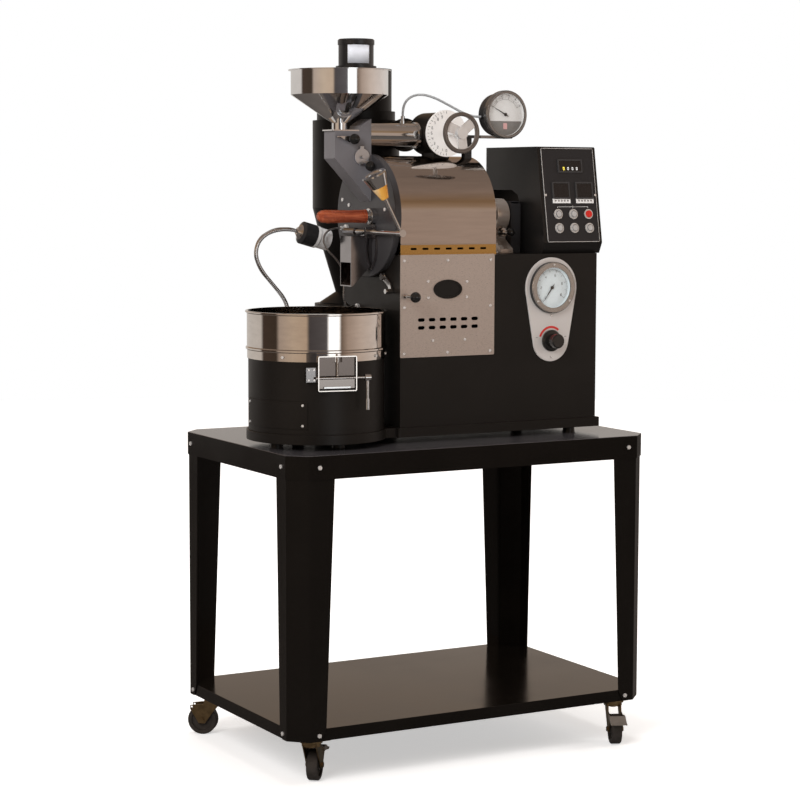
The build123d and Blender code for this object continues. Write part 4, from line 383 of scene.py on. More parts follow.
# Hopper and small parts in mirror steel
dress(polished("mirror_steel", (0.92, 0.93, 0.94), 0.055).done(), "hopper")
dress(polished("bright_steel", STEEL, 0.11).done(), "side_latch", "trier_sleeve", "stirrer")
dress(brushed("bin_floor_steel", (0.45, 0.44, 0.43), 0.3).done(), "bin_screen")

# Cooling ring and exit door: in the gate's frame the hinge plate is grey steel, while the upper
# plate and the door's plate are painted dark as painted reflections
ring = polished("ring_steel", (0.76, 0.72, 0.68), 0.05, (1.0, 1.0, 3.0))
ring.measure(BIN_CENTRE, GATE_AXES)
# Upper plate painted dark brown: a painted reflection
upper_plate_painted_reflection = ring.inside((-45.2, 160, 959.6), (45.2, 165.4, 1004.6))
hinge_plate = ring.inside((-78, 150, 920), (-47.6, 180, 1012))
ring.over(upper_plate_painted_reflection, (0.13, 0.11, 0.10), 0.12).over(hinge_plate, (0.34, 0.33, 0.33), 0.2)
dress(ring.done(), "cooling_ring")
exit_look = polished("exit_steel", STEEL, 0.11)
exit_look.measure(BIN_CENTRE, GATE_AXES)
# Door's plate painted darker grey: a painted reflection
door_plate_painted_reflection = exit_look.inside((-47, 156, 900), (47, 166.5, 963))
exit_look.over(door_plate_painted_reflection, (0.33, 0.30, 0.28), 0.16)
dress(exit_look.done(), "exit_door")

# Discharge door's counterweight: an amber cone in a chrome cup, its amber painted pale on one
# side and dark on the other as painted highlight and painted shade
CONE_FOOT, CONE_TOP = 92.5, 124.5
CONE_LEFT, CONE_RIGHT = -20 * MM, 22 * MM
weight = polished("weight_steel", STEEL, 0.10)
cone = weight.between(CONE_FOOT, weight.along(SHAFT, UP_LEVER), CONE_TOP)
# Across the cone the amber runs from pale to dark: painted highlight and painted shade
amber_painted_shading = weight.bands(weight.span(weight.along(SHAFT, ACROSS_LEVER), CONE_LEFT, CONE_RIGHT), [
    (0.0, (0.88, 0.70, 0.45)), (0.25, (0.92, 0.49, 0.10)), (0.6, (0.82, 0.36, 0.05)),
    (0.82, (0.30, 0.16, 0.08))])
weight.over(cone, amber_painted_shading, 0.2, 0.25)
dress(weight.done(), "discharge_door")

# Steel parts with black balls
for node, look_name, colour, rough, ball, radius in (
        ("hopper_gate", "gate_steel", STEEL, 0.12, (-224, -98.5, 1513), 13.3),
        ("chute_flap", "flap_steel", (0.74, 0.78, 0.84), 0.26, (-184, -102.5, 1449), 12.3)):
    made = polished(look_name, colour, rough)
    made.over(made.near(ball, radius), BALL_BLACK, 0.07, 0.0)
    dress(made.done(), node)
for node, ball, radius in (("air_shutter_rod", (-141, -251, 1138), 13.6),
                           ("cover_lock_pin", (202.5, -125, 1287), 10.5)):
    made = polished(node + "_finish", STEEL, 0.12)
    black = made.near(ball, radius)
    if node == "cover_lock_pin":
        black = made.either(black, made.inside((185, -96, 1270), (220, -82, 1300)))
    made.over(black, BALL_BLACK, 0.08, 0.0)
    dress(made.done(Coat_Weight=0.3, Coat_Roughness=0.04), node)

# Exhaust pipe polished, its damper housing black, the scale disc pale
DISC_RADIUS, SPOKES_RADIUS = 58, 39.5
pipe = polished("pipe_steel", STEEL, 0.10, (0.4, 2.0, 2.0))
housing = pipe.inside((-27.5, -105.1, 1400), (90, 200, 1600))
pipe.over(housing, BLACK, 0.38, 0.0)
disc = pipe.both(pipe.near(DAMPER, DISC_RADIUS, ACROSS_Y),
                 pipe.inside((-60, -109.4, 1460), (90, -104.6, 1600)))
pipe.over(disc, (0.93, 0.92, 0.91), 0.32, 0.1)
dress(pipe.done(), "exhaust_duct")
wheel = polished("hand_wheel", (0.82, 0.83, 0.84), 0.12, metal=0.6)
rim = wheel.without(wheel.inside((-60, -190, 1400), (120, -170, 1700)),
                    wheel.near(DAMPER, SPOKES_RADIUS, ACROSS_Y))
wheel.over(rim, (0.17, 0.145, 0.13), 0.24)
dress(wheel.done(), "damper_wheel")

# Iron, alloy and dull steel inside
iron = powder("iron", (0.06, 0.058, 0.056), 0.5, 3.0)
drum_zone = iron.inside((-200, -300, 1200), (300, 200, 1500))
iron.over(drum_zone, metal=0.9)
dress(iron.done(), "drum")
dress(brushed("dull_steel", (0.36, 0.35, 0.34), 0.34).done(), "burner", "motor_sprocket")
dress(brushed("fan_alloy", (0.46, 0.46, 0.47), 0.36, (1.0, 1.0, 2.0)).done(), "fan_impeller")
dress(polished("spout_steel", (0.42, 0.41, 0.42), 0.14).done(), "discharge_spout")

# Motors
dress(powder("motor_coat", (0.014, 0.014, 0.015), 0.3).done(), "motors")

# Bolts, zinc and wheels
dress(brushed("bolt_steel", (0.86, 0.85, 0.84), 0.22, metal=0.6).done(), "fasteners")
zinc = brushed("zinc", (0.36, 0.27, 0.15), 0.28).vary(0.25, 60.0)
dress(zinc.done(), "caster_plates", *["caster_fork_" + c for c in CORNERS])
dress(plastic("pedal_grey", (0.17, 0.145, 0.125), 0.36).done(), "brake_pedal_fl",
      "brake_pedal_fr")
tread = Recipe("wheel_tread", (0.032, 0.027, 0.024), 0.55)
tread.vary(0.2, 50.0).smudge(0.15, 60.0).edges(0.8)
tread.bump(tread.noise(300.0, 3.0), 0.15, 0.4)
dress(tread.done(), *["caster_wheel_" + c for c in CORNERS])

# Knob and push buttons: one red, the others silver, with a dark ring painted round the cap as
# painted shade in its groove
RED_BUTTON = 3
GROOVE_INNER, GROOVE_OUTER = 7.3, 8.6
dress(plastic("knob_black", BALL_BLACK, 0.10).done(Coat_Weight=0.5, Coat_Roughness=0.04),
      "regulator_knob")
for number, (down, right) in enumerate([(w, u) for w in BUTTON_ROWS for u in BUTTON_COLUMNS],
                                       start=1):
    if number == RED_BUTTON:
        made = plastic("button_red", (0.55, 0.016, 0.012), 0.22)
        material = made.done(Coat_Weight=0.6, Coat_Roughness=0.05)
    else:
        made = brushed("button_%d_face" % number, (0.60, 0.61, 0.62), 0.3, (8.0, 1.0, 1.0),
                       0.45)
        cap = (PANEL_CORNER + Vector((right, 0, 0)) - PANEL_UP * down
               + PANEL_OUT * BUTTON_FACE)
        # Dark ring round the cap: painted shade in the groove
        groove_painted_shade = made.without(made.near(cap, GROOVE_OUTER), made.near(cap, GROOVE_INNER))
        made.over(groove_painted_shade, (0.07, 0.07, 0.07), 0.3, 0.0)
        material = made.done()
    dress(material, "button_%d" % number)

# Trier: varnished wood handle on a steel scoop
WOOD_DARK = (0.13, 0.022, 0.010)
WOOD_MIDDLE = (0.30, 0.062, 0.026)
WOOD_PALE = (0.46, 0.13, 0.058)
trier = Recipe("trier_wood", WOOD_MIDDLE, 0.26)
grain = trier.noise(26.0, 6.0, (0.35, 3.0, 3.0), 1.6)
trier.values["Base Color"] = trier.bands(
    grain, [(0.25, WOOD_DARK), (0.5, WOOD_MIDDLE), (0.72, WOOD_PALE)])
trier.smudge(0.1, 40.0)
scoop = trier.inside((-194.9, -130, 1290), (-100, -60, 1370))
trier.over(scoop, STEEL, 0.13, 1.0)
trier.edges(0.5)
trier.bump(grain, 0.05, 0.3)
dress(trier.done(), "trier")

# Needles
dress(plastic("needle_black", (0.015, 0.015, 0.015), 0.35).done(), "pressure_needle",
      "air_needle")

# Gauges: cases, bezels, dials and panes, and the pale plate behind the gas gauge
cases = powder("gauge_cases", (0.020, 0.020, 0.021), 0.35)


def gas_disc(radius):
    return cases.near(GAS_GAUGE, radius, ACROSS_Y)


def gas_layer(front, back):
    return cases.inside((200, front, 1080), (350, back, 1230))


def air_disc(radius):
    return cases.near(AIR_GAUGE, radius, ACROSS_Y)


def air_layer(front, back):
    return cases.inside((130, front, 1510), (265, back, 1645))


GAS_DIAL, GAS_CASE, GAS_BEZEL = 50.4, 55.15, 63.2
AIR_DIAL, AIR_BEZEL_INNER = 52.4, 50.5
plate = cases.inside((195, -201.2, 900), (360, -196.8, 1230))
cases.over(cases.without(plate, gas_disc(GAS_CASE)), (0.72, 0.70, 0.69), 0.34, 0.35)
gas_bezel = cases.both(gas_layer(-214, -195), gas_disc(GAS_BEZEL))
cases.over(gas_bezel, (0.52, 0.49, 0.46), 0.24, 0.8)
air_bezel = cases.without(air_layer(-111, -95.8), air_disc(AIR_BEZEL_INNER))
cases.over(air_bezel, (0.34, 0.34, 0.34), 0.24, 0.9)
gas_dial = cases.both(gas_disc(GAS_DIAL), gas_layer(-209, -201))
cases.over(gas_dial, (0.80, 0.88, 0.92), 0.4, 0.0)
air_dial = cases.both(air_disc(AIR_DIAL), air_layer(-106, -99))
cases.over(air_dial, (0.82, 0.82, 0.82), 0.4, 0.0)
gas_glass = cases.both(gas_disc(GAS_DIAL), gas_layer(-211.8, -209.7))
air_glass = cases.both(air_disc(AIR_DIAL), air_layer(-108.8, -106.7))
dress(cases.done(), "gauge_cases")
cases.clear(cases.either(gas_glass, air_glass), (0.985, 0.99, 0.99))

# Lamp: black head with a silver ring and a bright end, chrome neck
RING_FROM, RING_TO, BRIGHT_END = -3, 9, 48
lamp = powder("lamp_coat", (0.018, 0.018, 0.019), 0.3)
gooseneck = lamp.inside((-420, 70, 1074.5), (-290.5, 86, 1310))
lamp.over(gooseneck, (0.74, 0.75, 0.76), 0.18, 1.0)
along_head = lamp.along(NECK_END, HEAD_WAY)
bright_end = lamp.math("LESS_THAN", BRIGHT_END * MM, along_head)
lamp.over(bright_end, (0.90, 0.90, 0.90), 0.2, 0.25)
lamp.over(lamp.between(RING_FROM, along_head, RING_TO), (0.72, 0.71, 0.70), 0.13, 1.0)
dress(lamp.done(), "lamp")

# Control box: black shell, framed panel, dark bezels and silver button rings
SHEET_FACE = 2.05
BUTTON_RING = 12.8
TIMER_FRAME, CONTROLLER_FRAME = (36.7, 17.2), (26.2, 21.7)
control = powder("control_coat", (0.0085, 0.008, 0.0078), 0.3)
control.measure(PANEL_CORNER, ((1, 0, 0), -PANEL_UP, PANEL_OUT))
board = control.inside((-0.5, -0.5, -0.4), (155.5, 236.5, 7))
control.over(board, (0.018, 0.018, 0.020), 0.32)
trim = control.without(control.inside((-0.5, -0.5, 1.9), (155.5, 236.5, 3.3)),
                       control.inside((1.3, 1.3, -5), (153.7, 234.7, 9)))
control.over(trim, (0.62, 0.62, 0.62), 0.25, 0.4)
for (a, b), (half_width, half_height) in ((TIMER, TIMER_FRAME),
                                          (CONTROLLERS[0], CONTROLLER_FRAME),
                                          (CONTROLLERS[1], CONTROLLER_FRAME)):
    bezel = control.inside((a - half_width, b - half_height, SHEET_FACE),
                           (a + half_width, b + half_height, 6))
    control.over(bezel, (0.040, 0.040, 0.042), 0.16)
rings = reduce(control.either, [control.near((right, down, 0), BUTTON_RING, (1, 1, 0))
                                for right in BUTTON_COLUMNS for down in BUTTON_ROWS])
rings = control.both(rings, control.inside((0, 0, SHEET_FACE), (PANEL_WIDTH, PANEL_HEIGHT, 6)))
control.over(rings, (0.78, 0.79, 0.80), 0.2, 0.6)
dress(control.done(Specular_IOR_Level=0.4), "control_box")

# Tube and cable
tube_look = Recipe("tube_clear", (0.42, 0.44, 0.46), 0.25)
tube_look.vary(0.15, 80.0)
tube_look.bump(tube_look.noise(120.0, 2.0), 0.1, 0.3)
braid = Recipe("cable_braid", (0.40, 0.40, 0.41), 0.3, 1.0)
weave = braid.node("TexWave", bands_direction="DIAGONAL")
weave.inputs["Scale"].default_value = 260.0
weave.inputs["Distortion"].default_value = 1.0
braid.feed(weave.inputs["Vector"], braid.place)
braid.over(weave.outputs["Fac"], (0.75, 0.75, 0.76))
braid.bump(weave.outputs["Fac"], 0.3, 0.8)


def nurbs(name, points_mm, order, resolution):
    curve = bpy.data.curves.new(name, "CURVE")
    curve.dimensions = "3D"
    spline = curve.splines.new("NURBS")
    spline.points.add(len(points_mm) - 1)
    for point, place in zip(spline.points, points_mm):
        point.co = (*[c * MM for c in place], 1.0)
    spline.order_u = order
    spline.use_endpoint_u = True
    spline.resolution_u = resolution
    return curve


def centre_line(curve):
    """Points along a curve's middle, in metres."""
    bare = curve.copy()
    bare.bevel_depth = 0.0
    probe = bpy.data.objects.new("probe", bare)
    line = [v.co.copy() for v in bpy.data.meshes.new_from_object(probe).vertices]
    bpy.data.objects.remove(probe)
    return line


def cord_piece(name, points_mm, diameter, material, node):
    """A round cord fixed at both ends, standing for the solid of its node."""
    curve = nurbs(name, points_mm, 3, 16)
    curve.bevel_depth = diameter / 2 * MM
    curve.bevel_resolution = 5
    curve.materials.append(material)
    piece = bpy.data.objects.new(name, curve)
    scene.collection.objects.link(piece)
    line = centre_line(curve)
    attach(piece, "stand")
    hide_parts(node)


TUBE_DIAMETER, CABLE_DIAMETER = 6.0, 5.0
TUBE_ROUTE = [
    (-65, -50, 1572), (-65, -50, 1590), (-57, -52, 1610), (-38, -55, 1623), (-12, -59, 1626),
    (20, -65, 1617), (55, -71, 1600), (88, -77, 1583), (118, -80, 1573), (140, -80, 1573)]
CABLE_ROUTE = [
    (-186, 46, 1297), (-210, 46, 1297), (-232, 43, 1285), (-240, 38, 1264), (-231, 31, 1243),
    (-212, 24, 1224), (-197, 18, 1200), (-191, 15, 1174), (-194, 14, 1148), (-194, 15, 1122),
    (-182, 16, 1104), (-158, 16, 1104)]
cord_piece("air_tube", TUBE_ROUTE, TUBE_DIAMETER, tube_look.done(),
           "sensing_tube")
cord_piece("probe_lead", CABLE_ROUTE, CABLE_DIAMETER, braid.done(),
           "probe_cable")


# Detail pieces
class Face:
    """A flat face of the machine: right and up along it, out from it, in millimetres."""

    def __init__(self, origin, right=(1, 0, 0), up=(0, 0, 1), out=(0, -1, 0)):
        self.origin, self.right = Vector(origin), Vector(right)
        self.up, self.out = Vector(up), Vector(out)

    def at(self, a, b, c):
        return (self.origin + self.right * a + self.up * b + self.out * c) * MM


def piece_from(shape, name, material, smooth=False):
    bmesh.ops.recalc_face_normals(shape, faces=shape.faces)
    mesh = bpy.data.meshes.new(name)
    shape.to_mesh(mesh)
    shape.free()
    for polygon in mesh.polygons:
        polygon.use_smooth = smooth
    mesh.materials.append(material)
    made = bpy.data.objects.new(name, mesh)
    scene.collection.objects.link(made)
    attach(made, "stand")


def skin(shape, rings):
    """Faces from each ring of points to the next, and over both ends."""
    for first, second in zip(rings, rings[1:]):
        for k in range(len(first)):
            m = (k + 1) % len(first)
            shape.faces.new((first[k], first[m], second[m], second[k]))
    shape.faces.new(rings[0][::-1])
    shape.faces.new(rings[-1])


def plates(name, outlines, on, low, high, material):
    """Thin raised shapes on a face, one for each outline."""
    shape = bmesh.new()
    for outline in outlines:
        skin(shape, [[shape.verts.new(on.at(a, b, level)) for a, b in outline]
                     for level in (low, high)])
    piece_from(shape, name, material)


def tube(name, line, radii, sides, material):
    """A round tube through points in metres, its radii in millimetres."""
    shape = bmesh.new()
    rings = []
    side = None
    for i, point in enumerate(line):
        ahead = (line[min(i + 1, len(line) - 1)] - line[max(i - 1, 0)]).normalized()
        if side is None:
            side = ahead.orthogonal().normalized()
        side = (side - ahead * side.dot(ahead)).normalized()
        other = ahead.cross(side)
        ring = []
        for k in range(sides):
            turn = 2 * math.pi * k / sides
            reach = side * math.cos(turn) + other * math.sin(turn)
            ring.append(shape.verts.new(point + reach * (radii[i] * MM)))
        rings.append(ring)
    skin(shape, rings)
    piece_from(shape, name, material, smooth=True)


def bar(a0, b0, a1, b1, width):
    run, rise = a1 - a0, b1 - b0
    size = math.hypot(run, rise)
    sa, sb = -rise / size * width / 2, run / size * width / 2
    return [(a0 + sa, b0 + sb), (a0 - sa, b0 - sb), (a1 - sa, b1 - sb), (a1 + sa, b1 + sb)]


def clock(radius, degrees):
    """A point on a dial, its angle measured clockwise from straight up."""
    a = math.radians(degrees)
    return radius * math.sin(a), radius * math.cos(a)


def ticks(inner, outer, first, step, count, width):
    return [bar(*clock(inner, first + step * i), *clock(outer, first + step * i), width)
            for i in range(count)]


def arc_band(inner, outer, start, stop, steps):
    turns = [start + (stop - start) * i / steps for i in range(steps + 1)]
    return [clock(outer, t) for t in turns] + [clock(inner, t) for t in reversed(turns)]


SEGMENTS = {"0": "abcdef", "1": "bc", "2": "abged", "3": "abgcd", "4": "fgbc", "5": "afgcd",
            "6": "afgedc", "7": "abc", "8": "abcdefg", "9": "abcdfg"}
TWO_DIGITS = (-1.7, 2.3)


def digit(value, a, b, height, width):
    """The bars of a seven-segment numeral, centred on a, b."""
    w, h = height * 0.27, height / 2
    ends = {"a": (-w, h, w, h), "b": (w, h, w, 0), "c": (w, 0, w, -h), "d": (-w, -h, w, -h),
            "e": (-w, 0, -w, -h), "f": (-w, h, -w, 0), "g": (-w, 0, w, 0)}
    return [bar(a + a0, b + b0, a + a1, b + b1, width)
            for a0, b0, a1, b1 in (ends[s] for s in SEGMENTS[value])]


def numerals(texts, radius, first, step, height, width):
    """Upright numbers round a dial."""
    bars = []
    for i, text in enumerate(texts):
        a, b = clock(radius, first + step * i)
        for shift, value in zip(TWO_DIGITS if len(text) == 2 else (0,), text):
            bars += digit(value, a + shift, b, height, width)
    return bars


FINE, BOLD = 0.5, 1.0
MARK_LOW, MARK_HIGH, SCALE_HIGH, ARC_HIGH = 0.02, 0.12, 0.15, 0.2
ink = plastic("ink", (0.035, 0.037, 0.042), 0.5).done()
red = plastic("red_enamel", (0.62, 0.035, 0.03), 0.35).done()
white = plastic("white_enamel", (0.80, 0.80, 0.80), 0.4).done()
grey = plastic("dial_grey", (0.20, 0.195, 0.19), 0.35).done()

# Gas gauge's dial, 0 to 10 over three quarters of a turn
GAS_START, GAS_SWEEP, GAS_RIM = 216, 270, 45
marks = ticks(GAS_RIM - 3.5, GAS_RIM, GAS_START, GAS_SWEEP / 50, 51, FINE)
marks += ticks(GAS_RIM - 6.5, GAS_RIM, GAS_START, GAS_SWEEP / 10, 11, BOLD)
marks.append(arc_band(GAS_RIM, GAS_RIM + 0.5, GAS_START, GAS_START + GAS_SWEEP, 60))
marks += numerals(("0", "2", "4", "6", "8", "10"), GAS_RIM - 13.5, GAS_START, GAS_SWEEP / 5,
                  5.5, 0.9)
plates("gas_dial_marks", marks, Face(at_depth(GAS_GAUGE, -203)), MARK_LOW, MARK_HIGH, ink)

# Air gauge's dial, 0 to 5 over its upper part, shaded below, with a small tab
AIR_START, AIR_SWEEP, AIR_RIM = -62, 124, 43.5
SHADE_RADIUS, SHADE_TOP = 51.5, -16
air_face = Face(at_depth(AIR_GAUGE, -101))
marks = ticks(AIR_RIM - 3.5, AIR_RIM, AIR_START, AIR_SWEEP / 20, 21, FINE)
marks += ticks(AIR_RIM - 5.5, AIR_RIM, AIR_START, AIR_SWEEP / 5, 6, BOLD)
marks.append(arc_band(AIR_RIM - 6.1, AIR_RIM - 5.6, AIR_START, AIR_START + AIR_SWEEP, 40))
marks += numerals("012345", AIR_RIM + 3.9, AIR_START, AIR_SWEEP / 5, 4.6, 0.8)
plates("air_dial_marks", marks, air_face, MARK_LOW, MARK_HIGH, ink)
half = math.degrees(math.acos(-SHADE_TOP / SHADE_RADIUS))
shade = [clock(SHADE_RADIUS, 180 - half + 2 * half * i / 30) for i in range(31)]
plates("air_dial_shade", [shade], air_face, MARK_LOW, 0.1, grey)
plates("air_dial_tab", [[(-5.5, -36), (5.5, -36), (5.5, -21), (-5.5, -21)]], air_face,
       MARK_HIGH, 0.3, plastic("dial_tab", (0.75, 0.42, 0.42), 0.4).done())

# Red arc above the regulator knob and its end ticks
KNOB = (276, 0, 1019)
plate_face = Face(at_depth(KNOB, -201))
plates("knob_arc", [arc_band(31, 36.5, -72, 40, 30)], plate_face, MARK_LOW, ARC_HIGH, red)
plates("knob_marks", ticks(40, 46, -78, 156, 2, 0.9), plate_face, MARK_LOW, ARC_HIGH, ink)

# Scale on the damper's disc, 0 to 9 over half a turn
SCALE_START, SCALE_STEP, SCALE_RIM = 180, 18, 54
marks = ticks(SCALE_RIM - 4, SCALE_RIM, SCALE_START, SCALE_STEP / 2, 21, 0.6)
marks += ticks(SCALE_RIM - 6, SCALE_RIM, SCALE_START, SCALE_STEP, 11, BOLD)
marks += numerals("0123456789", SCALE_RIM - 12, SCALE_START, SCALE_STEP, 6.0, 0.9)
plates("damper_scale_marks", marks, Face(at_depth(DAMPER, -109)), MARK_LOW, SCALE_HIGH, ink)

# Control panel: displays, key strips and the white line over the buttons
panel_face = Face(PANEL_CORNER, up=PANEL_UP, out=PANEL_OUT)
SHEET, LINE_FACE = 2.0, 2.12
STRIP_FACE, KEY_BASE, KEY_FACE = 3.4, 3.3, 3.9
DISPLAY_BASE, DISPLAY_FACE, DIGIT_FACE = 3.95, 4.3, 4.36
TIMER_ROW, AMBER_COLUMN, WHITE_COLUMNS = -51.5, 63, (76, 89, 102)


def rect(a0, b0, a1, b1):
    """A rectangle on the panel, b measured downwards."""
    return [(a0, -b0), (a1, -b0), (a1, -b1), (a0, -b1)]


def rect_round(centre, half_width, half_height):
    a, b = centre
    return rect(a - half_width, b - half_height, a + half_width, b + half_height)


def lit(name, colour, strength):
    made = Recipe(name, colour, 0.3).vary(0.05, 200.0)
    return made.done(Emission_Color=(*colour, 1.0), Emission_Strength=strength)


screens = [rect_round(TIMER, 32.3, 12.8)] + [rect_round(c, 21.8, 17.3) for c in CONTROLLERS]
plates("displays", screens, panel_face, DISPLAY_BASE, DISPLAY_FACE,
       plastic("display_glass", (0.012, 0.011, 0.012), 0.06).done())
plates("timer_digits_amber", digit("0", AMBER_COLUMN, TIMER_ROW, 6.5, 1.3), panel_face,
       DISPLAY_FACE, DIGIT_FACE, lit("amber", (0.95, 0.78, 0.10), 0.9))
row = [one for a in WHITE_COLUMNS for one in digit("0", a, TIMER_ROW, 6.0, 1.2)]
plates("timer_digits_white", row, panel_face, DISPLAY_FACE, DIGIT_FACE,
       lit("pale_digits", (0.8, 0.82, 0.82), 0.5))
strips = [rect(a - 26, 126.5, a + 26, 138.5) for a, b in CONTROLLERS]
plates("key_strips", strips, panel_face, SHEET, STRIP_FACE, white)
keys = [rect_round((a + shift, 132.3), 2.0, 2.0) for a, b in CONTROLLERS
        for shift in (-18, -9, 0, 9, 18)]
plates("key_strip_keys", keys, panel_face, KEY_BASE, KEY_FACE, grey)
lines = [rect(BUTTON_COLUMNS[0], 147.0, BUTTON_COLUMNS[-1], 147.8)]
lines += [rect(a - 0.4, top, a + 0.4, 151.0)
          for a, top in zip(BUTTON_COLUMNS, (147.0, 144.0, 147.0))]
plates("panel_lines", lines, panel_face, SHEET, LINE_FACE, white)

# Spring on the exit door's bolt
SPRING_TURNS, SPRING_RADIUS, SPRING_WIRE = 13, 2.9, 1.0
STEPS_PER_TURN = 14
spring_foot = Vector((-357.2, -263.4, 964)) * MM
spring_head = Vector((-357.2, -263.4, 1003.5)) * MM
spring_axis = (spring_head - spring_foot).normalized()
side = spring_axis.orthogonal().normalized()
other = spring_axis.cross(side)
coil = []
for i in range(SPRING_TURNS * STEPS_PER_TURN + 1):
    turn = 2 * math.pi * i / STEPS_PER_TURN
    reach = side * math.cos(turn) + other * math.sin(turn)
    coil.append(spring_foot.lerp(spring_head, i / (SPRING_TURNS * STEPS_PER_TURN))
                + reach * SPRING_RADIUS * MM)
tube("exit_bolt_spring", coil, [SPRING_WIRE / 2] * len(coil), 6,
     polished("spring_steel", (0.70, 0.68, 0.66), 0.15).done())

# Gooseneck's wound cover over its tube
NECK_ROUTE = [
    (-317, 78, 1075), (-317, 78, 1105), (-330, 78, 1129), (-358, 78, 1160), (-392, 78, 1197),
    (-407, 78, 1236), (-394, 78, 1273), (-353, 78, 1295), (-310, 78, 1295), NECK_END]
NECK_STEP = 0.7 * MM
COVER_CREST, COVER_GROOVE = 4.75, 4.35
neck = centre_line(nurbs("neck_line", NECK_ROUTE, 4, 64))
spaced = [neck[0]]
for point in neck[1:]:
    if (point - spaced[-1]).length > NECK_STEP:
        spaced.append(point)
tube("gooseneck_cover", spaced,
     [COVER_CREST if i % 4 < 2 else COVER_GROOVE for i in range(len(spaced))], 14,
     polished("neck_steel", (0.80, 0.82, 0.84), 0.14, metal=0.75).done())

# Blank label round the fan motor
MOTOR_AXIS = (-57.5, 208)
LABEL_START, LABEL_SWEEP, LABEL_STEPS = -56.2, 75, 18
LABEL_LOW, LABEL_HIGH = 1711, 1757
LABEL_INNER, LABEL_OUTER = 45.15, 45.45
shape = bmesh.new()
columns = []
for i in range(LABEL_STEPS + 1):
    a = math.radians(LABEL_START + LABEL_SWEEP * i / LABEL_STEPS)
    columns.append([shape.verts.new(Vector((MOTOR_AXIS[0] + r * math.sin(a),
                                            MOTOR_AXIS[1] - r * math.cos(a), z)) * MM)
                    for r, z in ((LABEL_INNER, LABEL_LOW), (LABEL_OUTER, LABEL_LOW),
                                 (LABEL_OUTER, LABEL_HIGH), (LABEL_INNER, LABEL_HIGH))])
skin(shape, columns)
piece_from(shape, "motor_label", plastic("label_foil", (0.80, 0.84, 0.92), 0.3).done(),
           smooth=True)

# Lamp's lens
HEAD_LENGTH, LENS_RADIUS = 88, 21
lens_face = Face(NECK_END + HEAD_WAY * HEAD_LENGTH, right=(0, 1, 0), up=HEAD_UP, out=HEAD_WAY)
plates("lamp_lens", [[clock(LENS_RADIUS, 10 * i) for i in range(36)]], lens_face, -0.5, 0.4,
       lit("lamp_lens", (0.85, 0.87, 0.88), 0.25))


# Floor: white where it is seen, softly shaded near the wheels, dim in reflections
FLOOR_RADIUS = 9.0
SHADED_TO, WHITE_FROM, SHADED_GLOW = 0.7, 1.9, 0.50
MIRRORED_TONE, MIRRORED_GLOW = (0.07, 0.055, 0.045, 1.0), 0.05
floor_mesh = bpy.data.meshes.new("floor")
shape = bmesh.new()
bmesh.ops.create_circle(shape, cap_ends=True, segments=96, radius=FLOOR_RADIUS)
shape.to_mesh(floor_mesh)
shape.free()
floor = bpy.data.objects.new("floor", floor_mesh)
scene.collection.objects.link(floor)
floor_look = bpy.data.materials.new("floor")
floor_look.use_nodes = True
graph = Graph(floor_look.node_tree)
surface = graph.tree.nodes["Principled BSDF"].inputs
speck = graph.node("TexNoise")
speck.inputs["Scale"].default_value = 3.0
paper = graph.blend(speck.outputs["Fac"], (0.88, 0.88, 0.88, 1.0), (0.92, 0.92, 0.91, 1.0))
seen, mirrored = graph.rays()
graph.feed(surface["Base Color"], graph.blend(mirrored, paper, MIRRORED_TONE))
surface["Roughness"].default_value = 0.8
reach = graph.vector("LENGTH", graph.node("TexCoord").outputs["Object"])
glow = graph.math("MULTIPLY", seen,
                  graph.span(reach, SHADED_TO, WHITE_FROM, SHADED_GLOW, 1.0))
surface["Emission Color"].default_value = WHITE
graph.feed(surface["Emission Strength"],
           graph.math("ADD", graph.math("MULTIPLY", mirrored, MIRRORED_GLOW), glow))
floor_mesh.materials.append(floor_look)

# Studio: white where it is seen, a room of light and dark walls in reflections
world = bpy.data.worlds.new("studio")
world.use_nodes = True
scene.world = world
graph = Graph(world.node_tree)
way = graph.node("TexCoord").outputs["Generated"]
height = graph.parts(way)["Z"]
turned = graph.node("VectorRotate", rotation_type="Z_AXIS")
turned.inputs["Angle"].default_value = AZIMUTH
graph.feed(turned.inputs["Vector"], way)
level = graph.parts(turned.outputs[0])
angle = graph.math("ARCTAN2", level["X"], graph.math("MULTIPLY", level["Y"], -1.0))

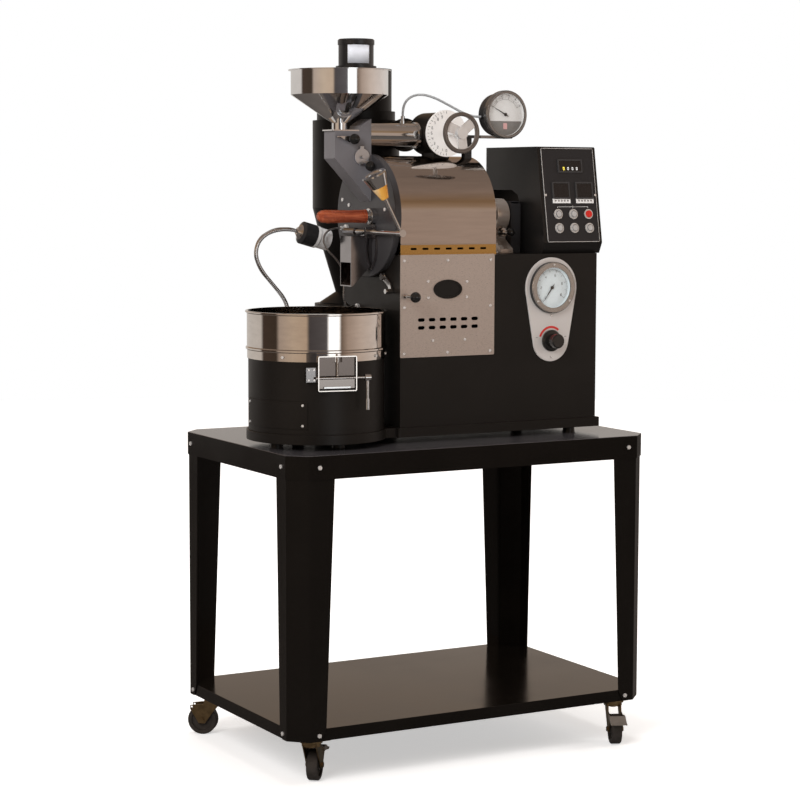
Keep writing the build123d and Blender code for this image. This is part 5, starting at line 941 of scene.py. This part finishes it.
# Walls by their bearing in degrees, clockwise from the camera's side
WALLS = (
    (-165, (0.60, 0.56, 0.52)), (-102, (0.58, 0.53, 0.49)), (-96, (0.06, 0.04, 0.03)),
    (-67, (0.05, 0.035, 0.025)), (-61, (0.42, 0.33, 0.27)), (-36, (0.52, 0.40, 0.30)),
    (-14, (0.50, 0.37, 0.27)), (-9, (0.07, 0.06, 0.06)), (20, (0.10, 0.09, 0.09)),
    (24, (1.6, 1.6, 1.6)), (40, (1.6, 1.6, 1.6)), (44, (0.16, 0.11, 0.08)),
    (56, (0.40, 0.30, 0.24)), (80, (0.55, 0.44, 0.37)), (130, (0.66, 0.58, 0.53)),
    (160, (0.62, 0.58, 0.54)))
walls = graph.bands(graph.span(angle, -math.pi, math.pi),
                    [((bearing + 180) / 360, colour) for bearing, colour in WALLS])
WALL_TOP, CEILING_EDGE = 0.10, 0.26
ceiling = graph.bands(graph.span(height, -1.0, 1.0), [
    (0.0, (0.55, 0.50, 0.46)), (0.55, (0.56, 0.46, 0.38)), (0.62, (0.36, 0.25, 0.17)),
    (0.70, (0.25, 0.155, 0.085)), (0.82, (0.27, 0.20, 0.16)), (0.95, (0.21, 0.16, 0.13)),
    (0.985, (0.20, 0.17, 0.15)), (1.0, (0.85, 0.83, 0.80))])
room = graph.blend(graph.span(height, WALL_TOP, CEILING_EDGE), walls, ceiling)
ground = graph.tree.nodes["Background"].inputs
graph.feed(ground["Color"], graph.blend(graph.rays()[0], room, WHITE))
ground["Strength"].default_value = 1.0

# Softboxes, all aimed at the machine's middle
AIM = Vector((0, 0, 1.0))
for name, place, size, power in (("key", (-3.2, -2.2, 3.0), (1.6, 2.2), 130),
                                 ("fill", (3.7, -1.5, 2.0), (1.2, 2.4), 55),
                                 ("top", (0.2, 0.4, 4.2), (2.6, 2.0), 70)):
    data = bpy.data.lights.new(name, "AREA")
    data.shape = "RECTANGLE"
    data.size, data.size_y = size
    data.energy = power
    softbox = bpy.data.objects.new(name, data)
    softbox.location = place
    softbox.visible_glossy = False
    softbox.rotation_mode = "QUATERNION"
    softbox.rotation_quaternion = (AIM - Vector(place)).to_track_quat("-Z", "Y")
    scene.collection.objects.link(softbox)

scene.view_settings.view_transform = "Standard"
